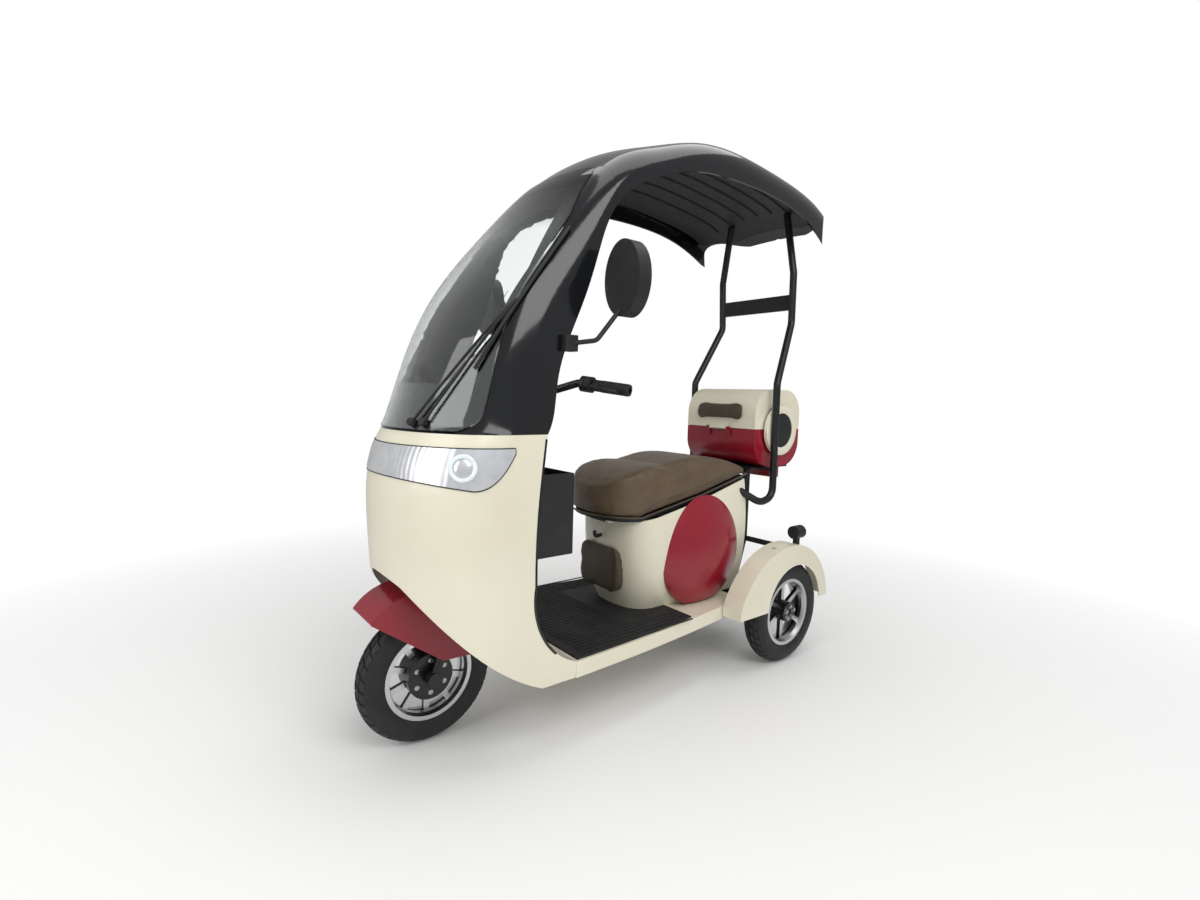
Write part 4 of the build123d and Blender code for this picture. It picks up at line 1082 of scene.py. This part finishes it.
# rows of floor ribs: x of their ends, y of the first, how many, step between them in mm
RIB_ROWS = (
    ("floor_ribs", 78, 320, -270, 31, 18),
    ("step_ribs_left", -118, 78, 190, 5, 20),
    ("step_ribs_right", -118, 78, -270, 5, 20),
)
# half a rib's width, how far it sinks into the mat and rises from it, its rounded edge in mm
RIB_HALF = 3
RIB_SINK = 0.5
RIB_RISE = 2.5
RIB_EDGE = 1.2


class TRIKE_OT_floor_ribs(bpy.types.Operator):
    """Lays ribs on the floor mat"""

    bl_idname = "trike.floor_ribs"
    bl_label = "Floor ribs"

    def execute(self, context):
        tree = array_tree()
        mat = (0, 0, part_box("floor_mat")[1].z)
        for name, back, ahead, first, count, step in RIB_ROWS:
            low = (back, first - RIB_HALF, -RIB_SINK)
            high = (ahead, first + RIB_HALF, RIB_RISE)
            rib = mesh_from("floor_rib", lambda shape: slab(shape, mat, low, high, RIB_EDGE))
            copied_piece(name, rib, tree, {"Count": count, "Step": (0, step * MM, 0)}, "mat_rubber")
        return {"FINISHED"}


# the instrument's face lies this far ahead of the dash's rear end
DASH_FACE = 40 * MM
# name, two corners with x from the dash's face in mm and rounded edge, finish, slot
INSTRUMENT = (
    ("instrument_rim", ((-3, -78, 886), (2, 78, 936), 2), "black_trim", "black_trim"),
    ("instrument_glass", ((-4, -70, 892), (-2, 70, 930), 0.8), "display", "clear_lens"),
)
KEY_RAY = (0.0, 0.0, 0.79)
KEY_SWITCH = ((0, 6), (7, 6), (9, 5), (13, 5), (15, 3), (15, -2))
KEY_SLOT = ((-12, -1.2, -5), (-4, 1.2, 5), 0.4)


class TRIKE_OT_instrument(bpy.types.Operator):
    """Makes the instrument's glass and rim and the key switch"""

    bl_idname = "trike.instrument"
    bl_label = "Instrument"

    def execute(self, context):
        face = (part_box("dash")[0].x + DASH_FACE, 0, 0)
        for name, block, finish, slot in INSTRUMENT:
            slab_piece(name, face, block, finish)
        place, normal = on_surface(("leg_shield_inner",), KEY_RAY, (1, 0, 0))
        turned_piece("key_switch", (place, normal, KEY_SWITCH), "motor_alloy")
        slab_piece("key_slot", place, KEY_SLOT, "black_trim")
        return {"FINISHED"}


# outline of a cap's rim as radius and height in mm, and the height of its middle
CAP_RIM = ((64, -1), (64, 2.5), (70, 4), (88, 4), (93, 2), (93.5, -10), (92.2, -10), (92, -1), (64, -1))
CAP_HEIGHT = 835 * MM
# latch's corners in mm from the tub's upper rear edge, and its rounded edge
LATCH = ((-7, -26, -48), (1, 26, -14), 3)


class TRIKE_OT_box_trim(bpy.types.Operator):
    """Makes the rims round the tail box's caps and the lid's latch"""

    bl_idname = "trike.box_trim"
    bl_label = "Tail box trim"

    def execute(self, context):
        low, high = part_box("tail_box_caps")
        for side, name in SIDES:
            centre = Vector(((low.x + high.x) / 2, side * high.y, CAP_HEIGHT))
            turned_piece(f"box_cap_rim_{name}", (centre, (0, side, 0), CAP_RIM, 72), "cream_paint")
        low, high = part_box("tail_box_tub")
        slab_piece("box_latch", (low.x, 0, high.z), LATCH, "black_trim")
        return {"FINISHED"}


# nut and flat screw on a wheel's hub: radius, height over the hub's face in mm
HUB_NUT = ((0, 8), (6, 8), (7.5, 7), (7.5, 1.5), (9.5, 1.5), (9.5, -1), (0, -1))
HUB_SCREW = ((0, 0.8), (6.5, 0.8), (7.5, 0.3), (7.5, -1), (0, -1))
HUB_HALF = 36 * MM
HEX_SIDES = 6
# wheel, outline, count, radius of their circle, sides that have them
NUT_RINGS = (
    ("front", HUB_SCREW, 6, 44 * MM, SIDES),
    ("rear_left", HUB_NUT, 5, 23 * MM, SIDES[:1]),
    ("rear_right", HUB_NUT, 5, 23 * MM, SIDES[1:]),
)


class TRIKE_OT_hub_nuts(bpy.types.Operator):
    """Sets a ring of nuts or screws on each hub"""

    bl_idname = "trike.hub_nuts"
    bl_label = "Hub nuts"

    def execute(self, context):
        tree = array_tree()
        for wheel, outline, count, circle, sides in NUT_RINGS:
            values = {"Count": count, "Start": wheel_centre(wheel), "Turn": (0, 2 * math.pi / count, 0)}
            for side, name in sides:
                place = Vector((0, side * HUB_HALF, circle))
                nut = mesh_from("hub_nut", lambda shape: lathe(shape, place, (0, side, 0), outline, HEX_SIDES))
                ring = f"{wheel}_nuts_{name}"
                copied_piece(ring, nut, tree, values, "zinc", f"{wheel}_wheel")
        return {"FINISHED"}


# domed screw head: radius, height over the surface in mm
SCREW_HEAD = ((0, 3.2), (3.5, 2.8), (5.5, 1.6), (6.5, 0), (6.5, -1.5), (0, -1.5))
# node, ray's start on the left with x from the front axle in mm, and its direction
SCREWS = (
    ("stay_plate", (-1460, 132, 1302), (1, 0, 0)),
    ("stay_plate", (-1460, 132, 1326), (1, 0, 0)),
    ("rear_fender_{side}", (-1160, 282, 700), (0, 0, -1)),
    ("rear_fender_{side}", (-1330, 282, 700), (0, 0, -1)),
)


class TRIKE_OT_screws(bpy.types.Operator):
    """Sets screws on the stay plate and the rear fenders"""

    bl_idname = "trike.screws"
    bl_label = "Screws"

    def execute(self, context):
        spots = []
        for side, name in SIDES:
            for node, (x, y, z), direction in SCREWS:
                start = (FRONT + x * MM, side * y * MM, z * MM)
                spots.append(on_surface((node.format(side=name),), start, direction))
        seeds = bpy.data.meshes.new("screw_places")
        seeds.from_pydata([place for place, _ in spots], [], [])
        facing = seeds.attributes.new("facing", "FLOAT_VECTOR", "POINT")
        facing.data.foreach_set("vector", [value for _, normal in spots for value in normal])
        mesh = mesh_from("screw_head", lambda shape: lathe(shape, (0, 0, 0), (0, 0, 1), SCREW_HEAD, 20))
        head = bpy.data.objects.new("screw_head", mesh)
        copied_piece("screws", seeds, facing_tree(), {"Shape": head}, "zinc")
        drop(head)
        return {"FINISHED"}


# Stage

# world's light on matt surfaces and its level in gloss, where the camera's own white is 1
WORLD_LIGHT = 0.55
WORLD_GLOSS = 0.4
# name, place, width and height in metres, power in watts
SOFT_BOXES = (
    ("key_softbox", (0.6, 2.4, 2.6), (2.2, 1.6), 38),
    ("front_softbox", (3.0, 0.2, 1.6), (1.6, 2.0), 22),
    ("top_softbox", (-0.4, 0.2, 3.4), (2.4, 2.4), 30),
)
FLOOR_HALF = 6
FLOOR_CELLS = 8
# distances between which the floor fades out
FADE_FROM = 1.0
FADE_TO = 2.8
SENSOR_WIDTH = 36


def view_matrix(settings):
    """The camera's place and turn; it looks level along -X where its yaw, pitch and roll are zero."""
    yaw, pitch, roll = settings.aim
    level = math.pi / 2
    turn = Euler((level + pitch, 0, level + yaw)).to_matrix() @ Matrix.Rotation(roll, 3, "Z")
    return Matrix.Translation(settings.camera) @ turn.to_4x4()


def soft_lamp(name, place, target, size, power):
    """A soft box that faces a point."""
    data = bpy.data.lights.new(name, "AREA")
    data.shape = "RECTANGLE"
    data.size, data.size_y = size
    data.energy = power
    lamp = linked(name, data)
    lamp.location = place
    lamp.rotation_mode = "QUATERNION"
    lamp.rotation_quaternion = (Vector(target) - Vector(place)).to_track_quat("-Z", "Y")


def floor_grid(shape):
    """A flat grid of cells."""
    bmesh.ops.create_grid(shape, x_segments=FLOOR_CELLS, y_segments=FLOOR_CELLS, size=FLOOR_HALF)


def pale_floor(settings):
    """A pale matt sheet that fades into the backdrop far from the object."""
    material, tree, shader = new_finish("pale_studio_sheet", settings.floor, 0.9, Specular_IOR_Level=0.1)
    place = put(tree, "ShaderNodeTexCoord").outputs["Object"]
    far = put(tree, "ShaderNodeVectorMath", {0: place}, operation="LENGTH").outputs["Value"]
    fade = put(tree, "ShaderNodeMapRange", {"Value": far, "From Min": FADE_FROM, "From Max": FADE_TO})
    clear = put(tree, "ShaderNodeBsdfTransparent")
    blend = {0: fade.outputs["Result"], 1: shader.outputs[0], 2: clear.outputs[0]}
    mixed = put(tree, "ShaderNodeMixShader", blend)
    tree.links.new(mixed.outputs[0], tree.nodes["Material Output"].inputs["Surface"])
    floor = linked("studio_floor", mesh_from("studio_floor", floor_grid))
    dress(floor, material)


def white_world():
    """A white backdrop for the camera and through glass, dimmer in gloss, and soft light on all else."""
    world = bpy.data.worlds.new("studio_world")
    bpy.context.scene.world = world
    world.use_nodes = True
    tree = world.node_tree
    tree.nodes.clear()
    path = put(tree, "ShaderNodeLightPath").outputs
    rays = {0: path["Is Camera Ray"], 1: path["Is Transmission Ray"]}
    seen = put(tree, "ShaderNodeMath", rays, operation="MAXIMUM")
    levels = {"Value": path["Is Glossy Ray"], "To Min": WORLD_LIGHT, "To Max": WORLD_GLOSS}
    gloss = put(tree, "ShaderNodeMapRange", levels)
    both = {0: seen.outputs[0], 1: gloss.outputs["Result"]}
    strength = put(tree, "ShaderNodeMath", both, operation="MAXIMUM")
    white = put(tree, "ShaderNodeBackground", {"Color": (1, 1, 1, 1), "Strength": strength.outputs[0]})
    put(tree, "ShaderNodeOutputWorld", {"Surface": white.outputs[0]})


class TRIKE_OT_stage(bpy.types.Operator):
    """Makes the floor, the soft lights and the camera at the photograph's angle"""

    bl_idname = "trike.stage"
    bl_label = "Stage"

    def execute(self, context):
        settings = context.scene.trike_stage
        pale_floor(settings)
        white_world()
        middle = (CAD_BOX[0] + CAD_BOX[1]) / 2
        for name, place, size, power in SOFT_BOXES:
            soft_lamp(name, place, middle, size, power)
        data = bpy.data.cameras.new("view")
        data.sensor_width = SENSOR_WIDTH
        data.lens = settings.lens
        camera = linked("view", data)
        camera.matrix_world = view_matrix(settings)
        context.scene.camera = camera
        context.scene.view_settings.view_transform = "Standard"
        return {"FINISHED"}


STEPS = (
    TRIKE_OT_finishes,
    TRIKE_OT_pads,
    TRIKE_OT_tyres,
    TRIKE_OT_seat_welt,
    TRIKE_OT_grip_rings,
    TRIKE_OT_headlamp,
    TRIKE_OT_rear_lenses,
    TRIKE_OT_wiper,
    TRIKE_OT_edging,
    TRIKE_OT_liner_ribs,
    TRIKE_OT_mirror_glasses,
    TRIKE_OT_floor_ribs,
    TRIKE_OT_instrument,
    TRIKE_OT_box_trim,
    TRIKE_OT_hub_nuts,
    TRIKE_OT_screws,
    TRIKE_OT_stage,
)
SETTINGS = (
    ("trike_finish", FinishSettings),
    ("trike_soft", SoftSettings),
    ("trike_tyre", TyreSettings),
    ("trike_stage", StageSettings),
)


class TRIKE_PT_panel(bpy.types.Panel):
    """Lists the dressing steps"""

    bl_label = "Tricycle"
    bl_idname = "TRIKE_PT_panel"
    bl_space_type = "VIEW_3D"
    bl_region_type = "UI"
    bl_category = "Tricycle"

    def draw(self, context):
        for step in STEPS:
            self.layout.operator(step.bl_idname)
        for attribute, group in SETTINGS:
            for name in group.__annotations__:
                self.layout.prop(getattr(context.scene, attribute), name)


def register():
    for _, group in SETTINGS:
        bpy.utils.register_class(group)
    for attribute, group in SETTINGS:
        setattr(bpy.types.Scene, attribute, PointerProperty(type=group))
    for step in STEPS:
        bpy.utils.register_class(step)
    bpy.utils.register_class(TRIKE_PT_panel)


def unregister():
    bpy.utils.unregister_class(TRIKE_PT_panel)
    for step in reversed(STEPS):
        bpy.utils.unregister_class(step)
    for attribute, group in SETTINGS:
        delattr(bpy.types.Scene, attribute)
        bpy.utils.unregister_class(group)


def main():
    register()
    for step in STEPS:
        family, name = step.bl_idname.split(".")
        getattr(getattr(bpy.ops, family), name)()


if __name__ == "__main__":
    main()
